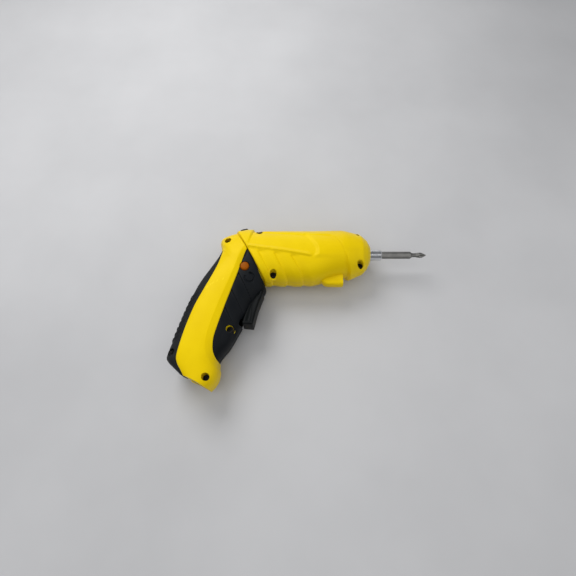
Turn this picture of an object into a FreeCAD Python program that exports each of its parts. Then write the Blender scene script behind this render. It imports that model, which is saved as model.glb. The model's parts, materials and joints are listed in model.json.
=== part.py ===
import FreeCAD, Part
import math
import os
import re

import Sketcher
from FreeCAD import Placement, Rotation, Vector

# A small battery power driver with a twisting barrel.
#
# Frame: the origin is the centre of the bit holder's mouth. +X points forward along the
# bit, +Z up with the handle hanging down, and +Y to the tool's left. Lengths are in mm.
# The handle is the fixed body. The barrel twists on it about an axis that leans up and
# forward, so half a turn changes the tool from pistol to straight.

SIZES = {
    # joint between handle and barrel
    "swivel_x": -129.75,
    "swivel_z": -6.65,
    "swivel_lean": 61.5,
    "swivel_gap": 0.25,
    "hub_radius": 12.0,
    "hub_bore": 8.5,
    "hub_flange_radius": 15.0,
    "hub_back_radius": 18.0,
    "ring_radius": 18.0,
    "running_gap": 0.05,
    # shell walls
    "barrel_wall": 2.4,
    "handle_wall": 3.2,
    "panel_thick": 1.5,
    "grip_thick": 1.9,
    "rib_thick": 1.8,
    # barrel outline
    "barrel_wide": 21.8,
    "barrel_tall": 27.7,
    "barrel_drop": 4.5,
    "nose_radius": 22.6,
    "nose_front": 12.5,
    "nose_face_radius": 11.0,
    "nose_hole_radius": 5.0,
    # handle outline
    "handle_wide": 19.5,
    "handle_angle": 65.7,
    "foot_x": -177.2,
    "foot_z": -123.27,
    # lamp under the nose
    "hood_back": 59.0,
    "hood_front": 39.6,
    "hood_low": 32.6,
    "hood_half_wide": 7.0,
    "lamp_drop": 28.3,
    "lens_radius": 2.6,
    "lamp_radius": 1.5,
    # screws
    "screw_head_radius": 2.75,
    "screw_head_thick": 2.2,
    "screw_shank_radius": 1.4,
    "screw_shank_long": 13.5,
    "screw_sink_radius": 3.3,
    "screw_boss_radius": 4.2,
    # bit holder and spindle
    "holder_radius": 5.5,
    "holder_long": 12.2,
    "spindle_radius": 4.5,
    "spindle_back": 31.0,
    "journal_radius": 4.0,
    "journal_back": 34.6,
    "hex_across": 6.35,
    "hex_slack": 0.05,
    "socket_deep": 17.0,
    "magnet_radius": 3.0,
    "magnet_thick": 3.0,
    "clip_front": 26.8,
    "clip_thick": 0.8,
    "clip_radius": 6.5,
    "clip_groove": 0.4,
    "bush_radius": 7.5,
    "bush_front": 16.0,
    "bush_back": 26.0,
    "bit_tail": 16.8,
    "bit_hex_front": 29.0,
    "bit_neck_front": 34.0,
    "bit_neck_radius": 2.3,
    "bit_tip": 45.0,
    # planetary gearbox
    "gear_module": 0.8,
    "gear_pressure": 25.0,
    "gear_backlash": 0.12,
    "sun_count": 9,
    "planet_count": 12,
    "gear_thick": 6.0,
    "planet_pin_radius": 1.25,
    "carrier_radius": 12.2,
    "carrier_thick": 3.4,
    "case_radius": 16.0,
    "case_front": 28.4,
    "case_back": 54.0,
    "case_teeth_front": 30.6,
    "neck_radius": 9.5,
    "stage_two_back": 41.4,
    "stage_one_back": 52.2,
    "carrier_back": 45.8,
    "carrier_sun_long": 10.4,
    "pinion_back": 52.6,
    "pinion_long": 6.2,
    "pin_seat_deep": 2.5,
    "press_gap": 0.02,
    # motor
    "cover_back": 56.0,
    "motor_radius": 13.75,
    "motor_back": 94.0,
    "can_wall": 1.0,
    "endcap_back": 98.0,
    "motor_shaft_radius": 1.15,
    "motor_shaft_back": 99.5,
    "motor_shaft_front": 46.4,
    "armature_radius": 10.2,
    "armature_front": 64.0,
    "armature_back": 86.0,
    "commutator_radius": 3.8,
    "commutator_back": 91.5,
    "field_thick": 1.9,
    "field_back": 89.0,
    "field_long": 28.0,
    # battery
    "cell_radius": 9.0,
    "cell_long": 65.0,
    "cell_x": -169.0,
    "cell_z": -68.0,
    "contact_side": 15.0,
    "contact_thick": 0.6,
    # trigger, reversing button, lock button
    "trigger_half_wide": 9.5,
    "trigger_slack": 0.5,
    "trigger_swing": 8.0,
    "trigger_pin_x": -125.0,
    "trigger_pin_z": -40.5,
    "trigger_pin_radius": 1.25,
    "trigger_pin_half_long": 12.9,
    "reverse_x": -133.4,
    "reverse_z": -22.0,
    "reverse_radius": 4.2,
    "reverse_half_long": 21.3,
    "reverse_slack": 0.3,
    "lock_x": -137.0,
    "lock_long": 8.4,
    "lock_half_wide": 10.0,
    "lock_top": 27.6,
    "lock_foot_top": 20.0,
    "lock_foot_low": 17.6,
    "lock_foot_margin": 1.2,
    "lock_slack": 0.3,
    "lock_spring_low": 12.4,
    "lock_spring_radius": 2.4,
    "spring_wire_radius": 0.35,
    "trigger_spring_radius": 2.6,
    "trigger_spring_long": 5.4,
    "switch_along": -20.0,
    "switch_front": 26.0,
    # charging socket
    "jack_forward": 4.6,
    "jack_radius": 3.6,
    "jack_bore": 1.8,
    "jack_long": 10.0,
    "jack_floor": 1.5,
    "wire_radius": 0.8,
}

doc = FreeCAD.newDocument("power_driver")
sheet = doc.addObject("Spreadsheet::Sheet", "dims")
for row, (word, value) in enumerate(SIZES.items(), 1):
    sheet.set("A%d" % row, word)
    sheet.set("B%d" % row, str(value))
    sheet.setAlias("B%d" % row, word)
doc.recompute()

nodes = []


def size(word):
    return float(sheet.get(word))


def formula(text):
    """A formula written with bare size names, as the sheet's cells are addressed."""
    return re.sub(r"([a-z]\w+)", r"dims.\1", text)


def node(thing):
    nodes.append(thing)
    return thing


def origin_plane(body, role):
    return [part for part in body.Origin.OriginFeatures if part.Role == role][0]


def new_body(name):
    body = doc.addObject("PartDesign::Body", name)
    body.Label = name
    return node(body)


def outline(body, role, corners):
    """A closed sketch of straight lines; every corner is two formulas of the sheet."""
    sketch = body.newObject("Sketcher::SketchObject", body.Name + "_outline")
    sketch.AttachmentSupport = (origin_plane(body, role), [""])
    sketch.MapMode = "FlatFace"
    count = len(corners)
    start = [Vector(math.cos(i * math.tau / count), math.sin(i * math.tau / count), 0)
             for i in range(count)]
    for i in range(count):
        sketch.addGeometry(Part.LineSegment(start[i], start[(i + 1) % count]), False)
    for i in range(count):
        sketch.addConstraint(Sketcher.Constraint("Coincident", i, 2, (i + 1) % count, 1))
    for i, corner in enumerate(corners):
        for kind, begin, text in (("DistanceX", start[i].x, corner[0]),
                                  ("DistanceY", start[i].y, corner[1])):
            rule = sketch.addConstraint(Sketcher.Constraint(kind, -1, 1, i, 1, begin))
            sketch.setExpression("Constraints[%d]" % rule, formula(text))
    doc.recompute()
    return sketch


def circle(body, role, across, up, radius):
    sketch = body.newObject("Sketcher::SketchObject", body.Name + "_circle")
    sketch.AttachmentSupport = (origin_plane(body, role), [""])
    sketch.MapMode = "FlatFace"
    sketch.addGeometry(Part.Circle(Vector(1, 1, 0), Vector(0, 0, 1), 1), False)
    for kind, text in (("DistanceX", across), ("DistanceY", up)):
        rule = sketch.addConstraint(Sketcher.Constraint(kind, -1, 1, 0, 3, 1.0))
        sketch.setExpression("Constraints[%d]" % rule, formula(text))
    rule = sketch.addConstraint(Sketcher.Constraint("Radius", 0, 1.0))
    sketch.setExpression("Constraints[%d]" % rule, formula(radius))
    doc.recompute()
    return sketch


def turned(name, corners):
    """A piece turned about the X axis from (x, radius) corners."""
    body = new_body(name)
    sketch = outline(body, "XZ_Plane", corners)
    turn = body.newObject("PartDesign::Revolution", name + "_turn")
    turn.Profile = sketch
    turn.ReferenceAxis = (sketch, ["H_Axis"])
    turn.Angle = 360
    doc.recompute()
    return body


def tube(name, back, front, outer, inner):
    return turned(name, [(back, inner), (front, inner), (front, outer), (back, outer)])


def cut_checked(body, name, sketch, length):
    """A pocket along whichever side of its sketch removes material."""
    before = body.Shape.Volume
    pocket = body.newObject("PartDesign::Pocket", name)
    pocket.Profile = sketch
    pocket.setExpression("Length", formula(length))
    doc.recompute()
    if body.Shape.Volume > before - 0.01:
        pocket.Reversed = True
        doc.recompute()
    assert body.Shape.Volume < before - 0.01, name + " removes nothing"


def hexagon(across):
    """Corners of a hexagon on the X axis, one pair of flats level."""
    half = "(%s) / 2" % across
    corner = "(%s) * 0.57735" % across
    return [(corner, "0"), ("(%s) / 2" % corner, half), ("-(%s) / 2" % corner, half),
            ("-" + corner, "0"), ("-(%s) / 2" % corner, "-" + half), ("(%s) / 2" % corner, "-" + half)]


def plain(name, shape, place=None):
    """A sub-part whose shape is made by Part's own functions."""
    feature = doc.addObject("Part::Feature", name)
    feature.Label = name
    feature.Shape = shape
    if place is not None:
        feature.Placement = place
    return node(feature)


def rod(radius, start, end):
    run = end - start
    return Part.makeCylinder(radius, run.Length, start, run)


def cross_rod(radius, x, z, low, high):
    return Part.makeCylinder(radius, high - low, Vector(x, low, z), Vector(0, 1, 0))


def block(x_low, x_high, y_half, z_low, z_high):
    return Part.makeBox(x_high - x_low, 2 * y_half, z_high - z_low, Vector(x_low, -y_half, z_low))


# ---- the slanted joint -------------------------------------------------------------

lean = math.radians(size("swivel_lean"))
swivel_centre = Vector(size("swivel_x"), 0, size("swivel_z"))
swivel_axis = Vector(math.sin(lean), 0, math.cos(lean))
swivel_down = Vector(math.cos(lean), 0, -math.sin(lean))
swivel_place = Placement(swivel_centre, Rotation(Vector(0, 1, 0), size("swivel_lean")))
spindle_turn = Rotation(Vector(0, 1, 0), 90)
FAR = 200.0
PART_LINE = 0.02


def swivel_slab(low, high):
    """Everything between two distances along the swivel axis."""
    slab = Part.makeBox(2 * FAR, 2 * FAR, high - low, Vector(-FAR, -FAR, low))
    slab.Placement = swivel_place
    return slab


def swivel_disc(radius, low, high):
    disc = Part.makeCylinder(radius, high - low, Vector(0, 0, low))
    disc.Placement = swivel_place
    return disc


def rounded_section(centre, along, half_long, half_wide, power):
    """A closed smooth curve between an ellipse (power 2) and a box, across the Y axis."""
    points = []
    steps = 28
    for i in range(steps):
        turn = math.tau * (i / steps + 0.25)
        reach = math.copysign(abs(math.cos(turn)) ** (2 / power), math.cos(turn))
        side = math.copysign(abs(math.sin(turn)) ** (2 / power), math.sin(turn))
        points.append(centre + along * (half_long * reach) + Vector(0, half_wide * side, 0))
    curve = Part.BSplineCurve()
    curve.interpolate(points, PeriodicFlag=True)
    return Part.Wire(curve.toShape())


def right_half(shape):
    """The part of a shape on the tool's right, short of the middle plane by the parting gap."""
    room = Part.makeBox(2 * FAR, FAR, 2 * FAR, Vector(-FAR - 100, -FAR - PART_LINE, -FAR))
    return shape.common(room)


def both_sides(name, right, holes):
    """Right and left mouldings: mirror images but for the screw holes."""
    left = right.mirror(Vector(0, 0, 0), Vector(0, 1, 0))
    plain(name + "_right", largest_solid(right.cut(holes)))
    plain(name + "_left", largest_solid(left.cut(holes)))


def largest_solid(shape):
    return max(shape.Solids, key=lambda solid: solid.Volume)


def screw_hole(x, z, seat):
    """The room a housing screw takes: sink, clearance hole and thread hole."""
    sink = cross_rod(size("screw_sink_radius"), x, z, -FAR / 4, -seat)
    end = size("screw_shank_long") - seat + 0.5
    return sink.fuse(cross_rod(size("screw_shank_radius") + size("running_gap"), x, z, -seat, end))


def screw(x, z, seat):
    top = -seat - size("screw_head_thick")
    head = cross_rod(size("screw_head_radius"), x, z, top, -seat)
    shank = cross_rod(size("screw_shank_radius"), x, z, -seat, size("screw_shank_long") - seat)
    long = size("screw_head_radius") * 1.2
    wide = 0.7
    slots = [Part.makeBox(long, 1.0, wide, Vector(x - long / 2, top, z - wide / 2)),
             Part.makeBox(wide, 1.0, long, Vector(x - wide / 2, top, z - long / 2))]
    return head.fuse(shank).cut(slots)


# ---- barrel housing ----------------------------------------------------------------

BARREL_BACK = 165.0
OVAL_FRONT = 76.0
ROUND_BACK = 34.0
BARREL_SCREWS = [(-107.0, -27.0, 8.0), (-121.0, 17.5, 8.0), (-24.0, -16.5, 6.0), (-24.0, 16.5, 6.0)]


def barrel_form(inset):
    """The barrel's outside, drawn in by inset: oval behind, round and domed at the nose."""
    wide = size("barrel_wide") - inset
    tall = size("barrel_tall") - inset
    nose = size("nose_radius") - inset
    front = size("nose_front") + inset * 1.2
    face = size("nose_face_radius") - inset * 0.6
    up = Vector(0, 0, 1)
    wires = []
    steps = 20
    for i in range(steps + 1):
        back = BARREL_BACK + (front - BARREL_BACK) * math.sin(i / steps * math.pi / 2)
        round_part = min(1.0, max(0.0, (OVAL_FRONT - back) / (OVAL_FRONT - ROUND_BACK)))
        blend = round_part * round_part * (3 - 2 * round_part)
        dome = max(0.0, (ROUND_BACK - back) / (ROUND_BACK - front))
        tip = nose - (nose - face) * (0.35 * dome + 0.65 * (1 - math.sqrt(max(0.0, 1 - dome ** 4))))
        middle = -size("barrel_drop") * (1 - blend)
        high = tall * (1 - blend) + tip * blend
        side = wide * (1 - blend) + tip * blend
        power = 2.4 - 0.4 * blend
        wires.append(rounded_section(Vector(-back, 0, middle), up, high, side, power))
    return Part.makeLoft(wires, True, False, False)


def barrel_shells():
    outer = right_half(barrel_form(0))
    hollow = right_half(barrel_form(size("barrel_wall")))
    hood = right_half(block(-size("hood_back"), -size("hood_front"), size("hood_half_wide"),
                            -size("hood_low"), -15.0))
    rib = size("rib_thick")
    gap = size("running_gap")
    additions = [outer.common(cross_rod(size("screw_boss_radius"), x, z, -FAR / 4, FAR / 4))
                 for x, z, seat in BARREL_SCREWS]
    for x, hole in ((-92.0, size("motor_radius")), (-64.0, size("motor_radius")),
                    (-44.0, size("case_radius")), (-22.0, size("neck_radius"))):
        plate = hollow.common(block(x, x + rib, FAR / 4, -FAR / 4, FAR / 4))
        bore = Part.makeCylinder(hole + gap, rib + 2, Vector(x - 1, 0, 0), Vector(1, 0, 0))
        additions.append(plate.cut(bore))
    collar = hollow.common(swivel_slab(1.0, 3.4))
    additions.append(collar.cut(swivel_disc(size("ring_radius") + gap, 0, 5)))
    shelf = block(size("lock_x") - 4.0, size("lock_x") + 6.0, size("lock_half_wide"),
                  size("lock_spring_low") - rib, size("lock_spring_low") - gap)
    additions.append(right_half(shelf.common(swivel_slab(3.5, 60))))
    slack = size("lock_slack")
    half_long = size("lock_long") / 2 + slack
    margin = size("lock_foot_margin")
    axis = Vector(1, 0, 0)
    lamp_seat = Vector(-size("hood_front") - 4.0, 0, -size("lamp_drop"))
    openings = [
        block(size("lock_x") - half_long, size("lock_x") + half_long, size("lock_half_wide") + slack,
              size("lock_spring_low"), 40.0),
        block(size("lock_x") - half_long, size("lock_x") + half_long + margin,
              size("lock_half_wide") + margin, size("lock_spring_low"), size("lock_foot_top") + 0.1),
        swivel_slab(-FAR, size("swivel_gap")),
        Part.makeCylinder(size("nose_hole_radius"), 8, Vector(-size("nose_front") - 6, 0, 0), axis),
        Part.makeCylinder(size("lens_radius") + gap, 8, lamp_seat, axis),
        Part.makeCylinder(size("lamp_radius") + gap, 10, lamp_seat - axis * 9.0, axis)]
    shell = outer.fuse(hood).cut(hollow).fuse(additions).cut(openings)
    both_sides("body_shell", shell, [screw_hole(x, z, seat) for x, z, seat in BARREL_SCREWS])
    screws = [screw(x, z, seat) for x, z, seat in BARREL_SCREWS]
    plain("body_screws", Part.makeCompound(screws))


def swivel_parts():
    gap = size("running_gap")
    hub = swivel_disc(size("hub_back_radius"), -4.4, -2.0)
    hub = hub.fuse(swivel_disc(size("hub_radius"), -2.0, 6.0))
    hub = hub.fuse(swivel_disc(size("hub_flange_radius"), 3.6, 6.0))
    plain("swivel_hub", hub.cut(swivel_disc(size("hub_bore"), -6, 8)))
    ring = swivel_disc(size("ring_radius"), 1.0, 3.4)
    plain("swivel_ring", ring.cut(swivel_disc(size("hub_radius") + gap, 0, 5)))


# ---- handle housing ----------------------------------------------------------------

HANDLE_SCREWS = [(-151.2, 7.4, 8.0), (-161.8, -123.4, 8.0), (-193.4, -102.0, 8.0), (-144.5, -81.0, 8.0)]
BOTTOM_OUT = Vector(-0.482, 0, -0.876)
FOOT_ALONG = Vector(0.876, 0, -0.482)
FOOT = Vector(size("foot_x"), 0, size("foot_z"))


def handle_form(inset, end_inset):
    """The handle's outside, drawn in by inset, from the slanted joint to the foot."""
    wide = size("handle_wide") - inset
    start = swivel_centre - swivel_axis * size("swivel_gap")
    stations = [(start, -swivel_down, 31.5, wide + 2.0, 2.4),
                (Vector(-137.4, 0, -15.0), Vector(-0.632, 0, 0.775), 33.0, wide + 1.6, 2.5),
                (Vector(-142.4, 0, -28.6), Vector(-0.79, 0, 0.613), 29.2, wide + 0.8, 2.5),
                (Vector(-151.0, 0, -45.5), Vector(-0.885, 0, 0.465), 28.2, wide + 0.2, 2.6),
                (Vector(-160.8, 0, -66.8), Vector(-0.935, 0, 0.355), 27.6, wide, 2.6),
                (Vector(-169.1, 0, -88.3), Vector(-0.965, 0, 0.262), 26.4, wide - 0.3, 2.6),
                (Vector(-175.4, 0, -107.7), Vector(-0.96, 0, 0.28), 23.9, wide - 0.8, 2.6),
                (FOOT - BOTTOM_OUT * end_inset, FOOT_ALONG * -1, 19.6, wide - 2.5, 2.6)]
    wires = [rounded_section(centre, along.normalize(), half_long - inset, half_wide, power)
             for centre, along, half_long, half_wide, power in stations]
    return Part.makeLoft(wires, True, False, False)


def side_region(curve_points, closing):
    """A prism across the tool: one smooth edge, closed by straight lines."""
    curve = Part.BSplineCurve()
    curve.interpolate([Vector(x, -60, z) for x, z in curve_points])
    ends = [Vector(curve_points[-1][0], -60, curve_points[-1][1])]
    ends += [Vector(x, -60, z) for x, z in closing]
    ends.append(Vector(curve_points[0][0], -60, curve_points[0][1]))
    wire = Part.Wire([curve.toShape()] + Part.makePolygon(ends).Edges)
    return Part.Face(wire).extrude(Vector(0, 120, 0))


def front_region():
    edge = [(-132.4, -4.2), (-137.6, -21.3), (-149.4, -61.4),
            (-157.0, -92.0), (-156.6, -103.0), (-152.4, -110.2)]
    return side_region(edge, [(-90.0, -110.2), (-90.0, -4.2)])


def rear_region():
    edge = [(-155.6, -7.0), (-161.8, -27.2), (-176.8, -61.4),
            (-185.4, -94.1), (-187.4, -108.0), (-176.5, -121.5)]
    return side_region(edge, [(-176.5, -140.0), (-225.0, -140.0), (-225.0, -7.0)])


def trigger_outline(slack):
    """Side view of the trigger; slack grows it on every side."""
    corners = [(-116.0, -43.6), (-118.6, -50.5), (-121.6, -61.5), (-124.8, -75.2), (-134.4, -74.4),
               (-133.0, -68.0), (-130.0, -58.0), (-129.0, -50.0), (-129.0, -42.5), (-127.6, -37.6),
               (-122.8, -37.0), (-117.2, -40.6)]
    face = Part.Face(Part.makePolygon([Vector(x, 0, z) for x, z in corners + corners[:1]]))
    if slack:
        face = face.makeOffset2D(slack)
    return face


def trigger_room():
    """The space that the trigger sweeps, open to the front."""
    wide = size("trigger_half_wide") + size("trigger_slack")
    room = None
    pin = Vector(size("trigger_pin_x"), 0, size("trigger_pin_z"))
    face = trigger_outline(size("trigger_slack"))
    for step in range(3):
        angle = size("trigger_swing") * step / 2
        turned_face = face.copy()
        turned_face.rotate(pin, Vector(0, 1, 0), angle)
        turned_face.translate(Vector(0, -wide, 0))
        solid = turned_face.extrude(Vector(0, 2 * wide, 0))
        room = solid if room is None else room.fuse(solid)
    return room


def handle_shells():
    gap = 0.03
    front = right_half(front_region())
    rear = right_half(rear_region())
    outer = right_half(handle_form(0, 0))
    depths = [size("panel_thick"), size("panel_thick") + gap, size("grip_thick"), size("grip_thick") + gap,
              size("handle_wall")]
    under_panel, panel_seat, under_grip, core, hollow = [right_half(handle_form(d, d)) for d in depths]
    button = cross_rod(size("reverse_radius") + size("reverse_slack"), size("reverse_x"), size("reverse_z"),
                       -FAR / 4, FAR / 4)
    room = trigger_room()
    panel = outer.cut(under_panel).common(front).cut([room, button])
    grip = outer.cut(under_grip).common(rear)
    web = hollow.common(swivel_slab(-4.4, -2.0)).cut(swivel_disc(size("hub_back_radius") + gap, -8, 0))
    bosses = [(size("screw_boss_radius"), x, z) for x, z, seat in HANDLE_SCREWS]
    bosses.append((3.2, size("trigger_pin_x"), size("trigger_pin_z")))
    additions = [core.common(cross_rod(radius, x, z, -FAR / 4, FAR / 4)) for radius, x, z in bosses]
    pin_end = size("trigger_pin_half_long") + 0.1
    pin = cross_rod(size("trigger_pin_radius") + size("running_gap"), size("trigger_pin_x"),
                    size("trigger_pin_z"), -pin_end, pin_end)
    jack_face = FOOT + FOOT_ALONG * size("jack_forward")
    jack_room = rod(size("jack_radius") + gap, jack_face + BOTTOM_OUT * 5,
                    jack_face - BOTTOM_OUT * (size("jack_long") + 2))
    shell = outer.cut(hollow)
    shell = shell.cut([outer.cut(panel_seat).common(front), outer.cut(core).common(rear)])
    shell = shell.fuse(additions + [web]).cut([room, button, pin, jack_room])
    holes = [screw_hole(x, z, seat) for x, z, seat in HANDLE_SCREWS]
    both_sides("handle_shell", shell, holes)
    both_sides("front_panel", panel, holes)
    both_sides("rear_grip", grip.cut(jack_room), holes)
    screws = [screw(x, z, seat) for x, z, seat in HANDLE_SCREWS]
    plain("handle_screws", Part.makeCompound(screws))
    jack_wall = rod(size("jack_radius"), jack_face, jack_face - BOTTOM_OUT * size("jack_long"))
    bore = rod(size("jack_bore"), jack_face + BOTTOM_OUT,
               jack_face - BOTTOM_OUT * (size("jack_long") - size("jack_floor")))
    plain("charging_jack", jack_wall.cut(bore))


# ---- controls ----------------------------------------------------------------------

def controls():
    wide = size("trigger_half_wide")
    face = trigger_outline(0)
    face.translate(Vector(0, -wide, 0))
    trigger = face.extrude(Vector(0, 2 * wide, 0))
    trigger = trigger.cut(cross_rod(size("trigger_pin_radius") + size("running_gap"), size("trigger_pin_x"),
                                    size("trigger_pin_z"), -FAR / 4, FAR / 4))
    plain("trigger", trigger)
    pin = doc.addObject("Part::Cylinder", "trigger_pin")
    pin.Label = "trigger_pin"
    pin.setExpression("Radius", "dims.trigger_pin_radius")
    pin.setExpression("Height", "2 * dims.trigger_pin_half_long")
    pin_end = Vector(size("trigger_pin_x"), size("trigger_pin_half_long"), size("trigger_pin_z"))
    pin.Placement = Placement(pin_end, Rotation(Vector(1, 0, 0), 90))
    node(pin)

    reverse = new_body("reverse_button")
    sketch = circle(reverse, "XZ_Plane", "reverse_x", "reverse_z", "reverse_radius")
    pad = reverse.newObject("PartDesign::Pad", "reverse_pad")
    pad.Profile = sketch
    pad.SideType = "Symmetric"
    pad.setExpression("Length", "2 * dims.reverse_half_long")
    doc.recompute()
    rim = reverse.newObject("PartDesign::Chamfer", "reverse_rim")
    rim.Base = (pad, [edge for edge in ("Edge1", "Edge2", "Edge3")
                      if pad.Shape.getElement(edge).Curve.TypeId == "Part::GeomCircle"])
    rim.Size = 0.8

    lock = new_body("lock_button")
    foot = [("lock_x - lock_long / 2", "lock_foot_low"),
            ("lock_x + lock_long / 2 + lock_foot_margin", "lock_foot_low"),
            ("lock_x + lock_long / 2 + lock_foot_margin", "lock_foot_top"),
            ("lock_x + lock_long / 2", "lock_foot_top"),
            ("lock_x + lock_long / 2", "lock_top - 1.2"),
            ("lock_x + lock_long / 2 - 1.2", "lock_top"),
            ("lock_x - lock_long / 2 + 1.2", "lock_top"),
            ("lock_x - lock_long / 2", "lock_top - 1.2")]
    sketch = outline(lock, "XZ_Plane", foot)
    pad = lock.newObject("PartDesign::Pad", "lock_pad")
    pad.Profile = sketch
    pad.SideType = "Symmetric"
    pad.setExpression("Length", "2 * dims.lock_half_wide")
    doc.recompute()


def spring(name, coil_radius, length, turns, place):
    """A coil whose wire is lofted through many small flats, standing on its own Z axis."""
    wire = size("spring_wire_radius")
    per_turn = 12
    sections = []
    for i in range(turns * per_turn + 1):
        turn = math.tau * i / per_turn
        out = Vector(math.cos(turn), math.sin(turn), 0)
        height = wire + (length - 2 * wire) * i / (turns * per_turn)
        corners = []
        for side in range(6):
            angle = math.tau * side / 6
            reach = coil_radius + wire * math.cos(angle)
            corners.append(out * reach + Vector(0, 0, height + wire * math.sin(angle)))
        sections.append(Part.makePolygon(corners + corners[:1]))
    plain(name, Part.makeLoft(sections, True, True, False), place)


def springs():
    length = size("lock_foot_low") - size("lock_spring_low") - 0.1
    spring("lock_spring", size("lock_spring_radius"), length, 4,
           Placement(Vector(size("lock_x"), 0, size("lock_spring_low") + 0.05), Rotation()))
    spring("trigger_spring", size("trigger_spring_radius"), size("trigger_spring_long"), 3,
           Placement(handle_frame(size("switch_along"), size("switch_front") + 0.1),
                     Rotation(Vector(0, 1, 0), 180 - size("handle_angle"))))


# ---- handle contents ---------------------------------------------------------------

def handle_frame(along, out):
    """A place in the handle: along its length from the cell's centre, and out to the front."""
    slope = math.radians(size("handle_angle"))
    down = Vector(-math.cos(slope), 0, -math.sin(slope))
    front = Vector(math.sin(slope), 0, -math.cos(slope))
    centre = Vector(size("cell_x"), 0, size("cell_z"))
    return centre + down * along + front * out


def handle_block(long, wide, thick, along, out):
    """A block lying along the handle: its length down the handle, its thickness front to back."""
    solid = Part.makeBox(thick, wide, long, Vector(-thick / 2, -wide / 2, -long / 2))
    lean = Rotation(Vector(0, 1, 0), 90 - size("handle_angle"))
    solid.Placement = Placement(handle_frame(along, out), lean)
    return solid


def handle_contents():
    half = size("cell_long") / 2
    cell = rod(size("cell_radius"), handle_frame(-half + 1.2, 0), handle_frame(half, 0))
    cell = cell.fuse(rod(2.8, handle_frame(-half, 0), handle_frame(-half + 1.2, 0)))
    plain("battery_cell", cell)
    side = size("contact_side")
    thick = size("contact_thick")
    top = handle_block(thick, side, side, -half - thick / 2 - 0.05, 0)
    low = handle_block(thick, side, side, half + thick / 2 + 0.05, 0)
    plain("battery_contacts", Part.makeCompound([top, low]))
    board = handle_block(42, 20, 1.2, 2, 12.5)
    for along, long in ((-10, 6), (4, 9), (15, 4)):
        board = board.fuse(handle_block(long, 7, 2.0, along, 13.9))
    plain("control_board", board)
    switch = handle_block(19, 11, 10, size("switch_along"), size("switch_front") - 5)
    switch = switch.cut(handle_block(3, 12, 2, size("switch_along") - 5, size("switch_front") - 10))
    plain("trigger_switch", switch)


def bent_wire(points):
    """An insulated wire through a few places, lofted through many small flats."""
    curve = Part.BSplineCurve()
    curve.interpolate(points)
    radius = size("wire_radius")
    steps = 9
    sections = []
    for i in range(steps + 1):
        at = curve.FirstParameter + (curve.LastParameter - curve.FirstParameter) * i / steps
        middle = curve.value(at)
        run = curve.tangent(at)[0]
        side = run.cross(Vector(0, 1, 0)).normalize()
        up = side.cross(run)
        turns = [math.tau * k / 6 for k in range(6)]
        corners = [middle + side * (radius * math.cos(turn)) + up * (radius * math.sin(turn))
                   for turn in turns]
        sections.append(Part.makePolygon(corners + corners[:1]))
    return Part.makeLoft(sections, True, True, False)


def wires():
    lower = []
    upper = []
    for side in (-1, 1):
        at = Vector(0, side * 2.0, 0)
        centre = swivel_centre + at
        to_joint = [handle_frame(-32, 21) + at, centre - swivel_axis * 8, centre - swivel_axis * 0.6]
        lower.append(bent_wire(to_joint))
        end = Vector(-size("endcap_back") - 1.2, side * 7.0, 0)
        to_motor = [centre + swivel_axis * 0.6, centre + swivel_axis * 9, end - Vector(8, 0, 0), end]
        upper.append(bent_wire(to_motor))
    plain("handle_wires", Part.makeCompound(lower))
    plain("barrel_wires", Part.makeCompound(upper))


# ---- gears -------------------------------------------------------------------------

def involute(angle):
    return math.tan(angle) - angle


def gear_face(count, add, ded, thickening, phase):
    """A toothed outline: add and ded are the heights over and under the pitch circle."""
    module = size("gear_module")
    pressure = math.radians(size("gear_pressure"))
    pitch = module * count / 2
    base = pitch * math.cos(pressure)
    tip = pitch + add
    root = pitch - ded
    half_pitch = math.pi / (2 * count) + thickening / (2 * pitch)
    begin = max(base, root)
    edges = []
    last = None
    first = None
    for tooth in range(count):
        middle = phase + math.tau * tooth / count
        rise = []
        for i in range(4):
            radius = begin + (tip - begin) * i / 3
            lean_here = half_pitch + involute(pressure) - involute(math.acos(min(1, base / radius)))
            rise.append((radius, lean_here))
        left = [Vector(r * math.cos(middle - a), r * math.sin(middle - a), 0) for r, a in rise]
        right = [Vector(r * math.cos(middle + a), r * math.sin(middle + a), 0) for r, a in reversed(rise)]
        if root < begin - 1e-6:
            foot = rise[0][1]
            left.insert(0, Vector(root * math.cos(middle - foot), root * math.sin(middle - foot), 0))
            right.append(Vector(root * math.cos(middle + foot), root * math.sin(middle + foot), 0))
        if last is not None:
            edges.append(Part.LineSegment(last, left[0]).toShape())
        else:
            first = left[0]
        for start, end in zip(left[:-1], left[1:]):
            edges.append(Part.LineSegment(start, end).toShape())
        edges.append(Part.LineSegment(left[-1], right[0]).toShape())
        for start, end in zip(right[:-1], right[1:]):
            edges.append(Part.LineSegment(start, end).toShape())
        last = right[-1]
    edges.append(Part.LineSegment(last, first).toShape())
    return Part.Face(Part.Wire(edges))


def on_spindle(back, spot=Vector(0, 0, 0)):
    """The place of a piece made along Z: on the spindle axis, its base at -back, moved to a spot."""
    return Placement(Vector(-back, 0, 0), spindle_turn).multiply(Placement(spot, Rotation()))


def gear_solid(count, thick, phase=0.0):
    module = size("gear_module")
    face = gear_face(count, 0.8 * module, 1.1 * module, -size("gear_backlash"), phase)
    return face.extrude(Vector(0, 0, thick))


def planet_spot(index):
    reach = size("gear_module") * (size("sun_count") + size("planet_count")) / 2
    turn = math.tau * index / 3
    return Vector(reach * math.cos(turn), reach * math.sin(turn), 0)


def planets(stage, back):
    count = int(size("planet_count"))
    for index in range(3):
        phase = math.tau * index / 3 + math.pi / count
        gear = gear_solid(count, size("gear_thick"), phase)
        hole = size("planet_pin_radius") + size("running_gap")
        gear = gear.cut(Part.makeCylinder(hole, 20, Vector(0, 0, -5)))
        plain("planet_%s_%s" % (stage, "abc"[index]), gear, on_spindle(back, planet_spot(index)))


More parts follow.
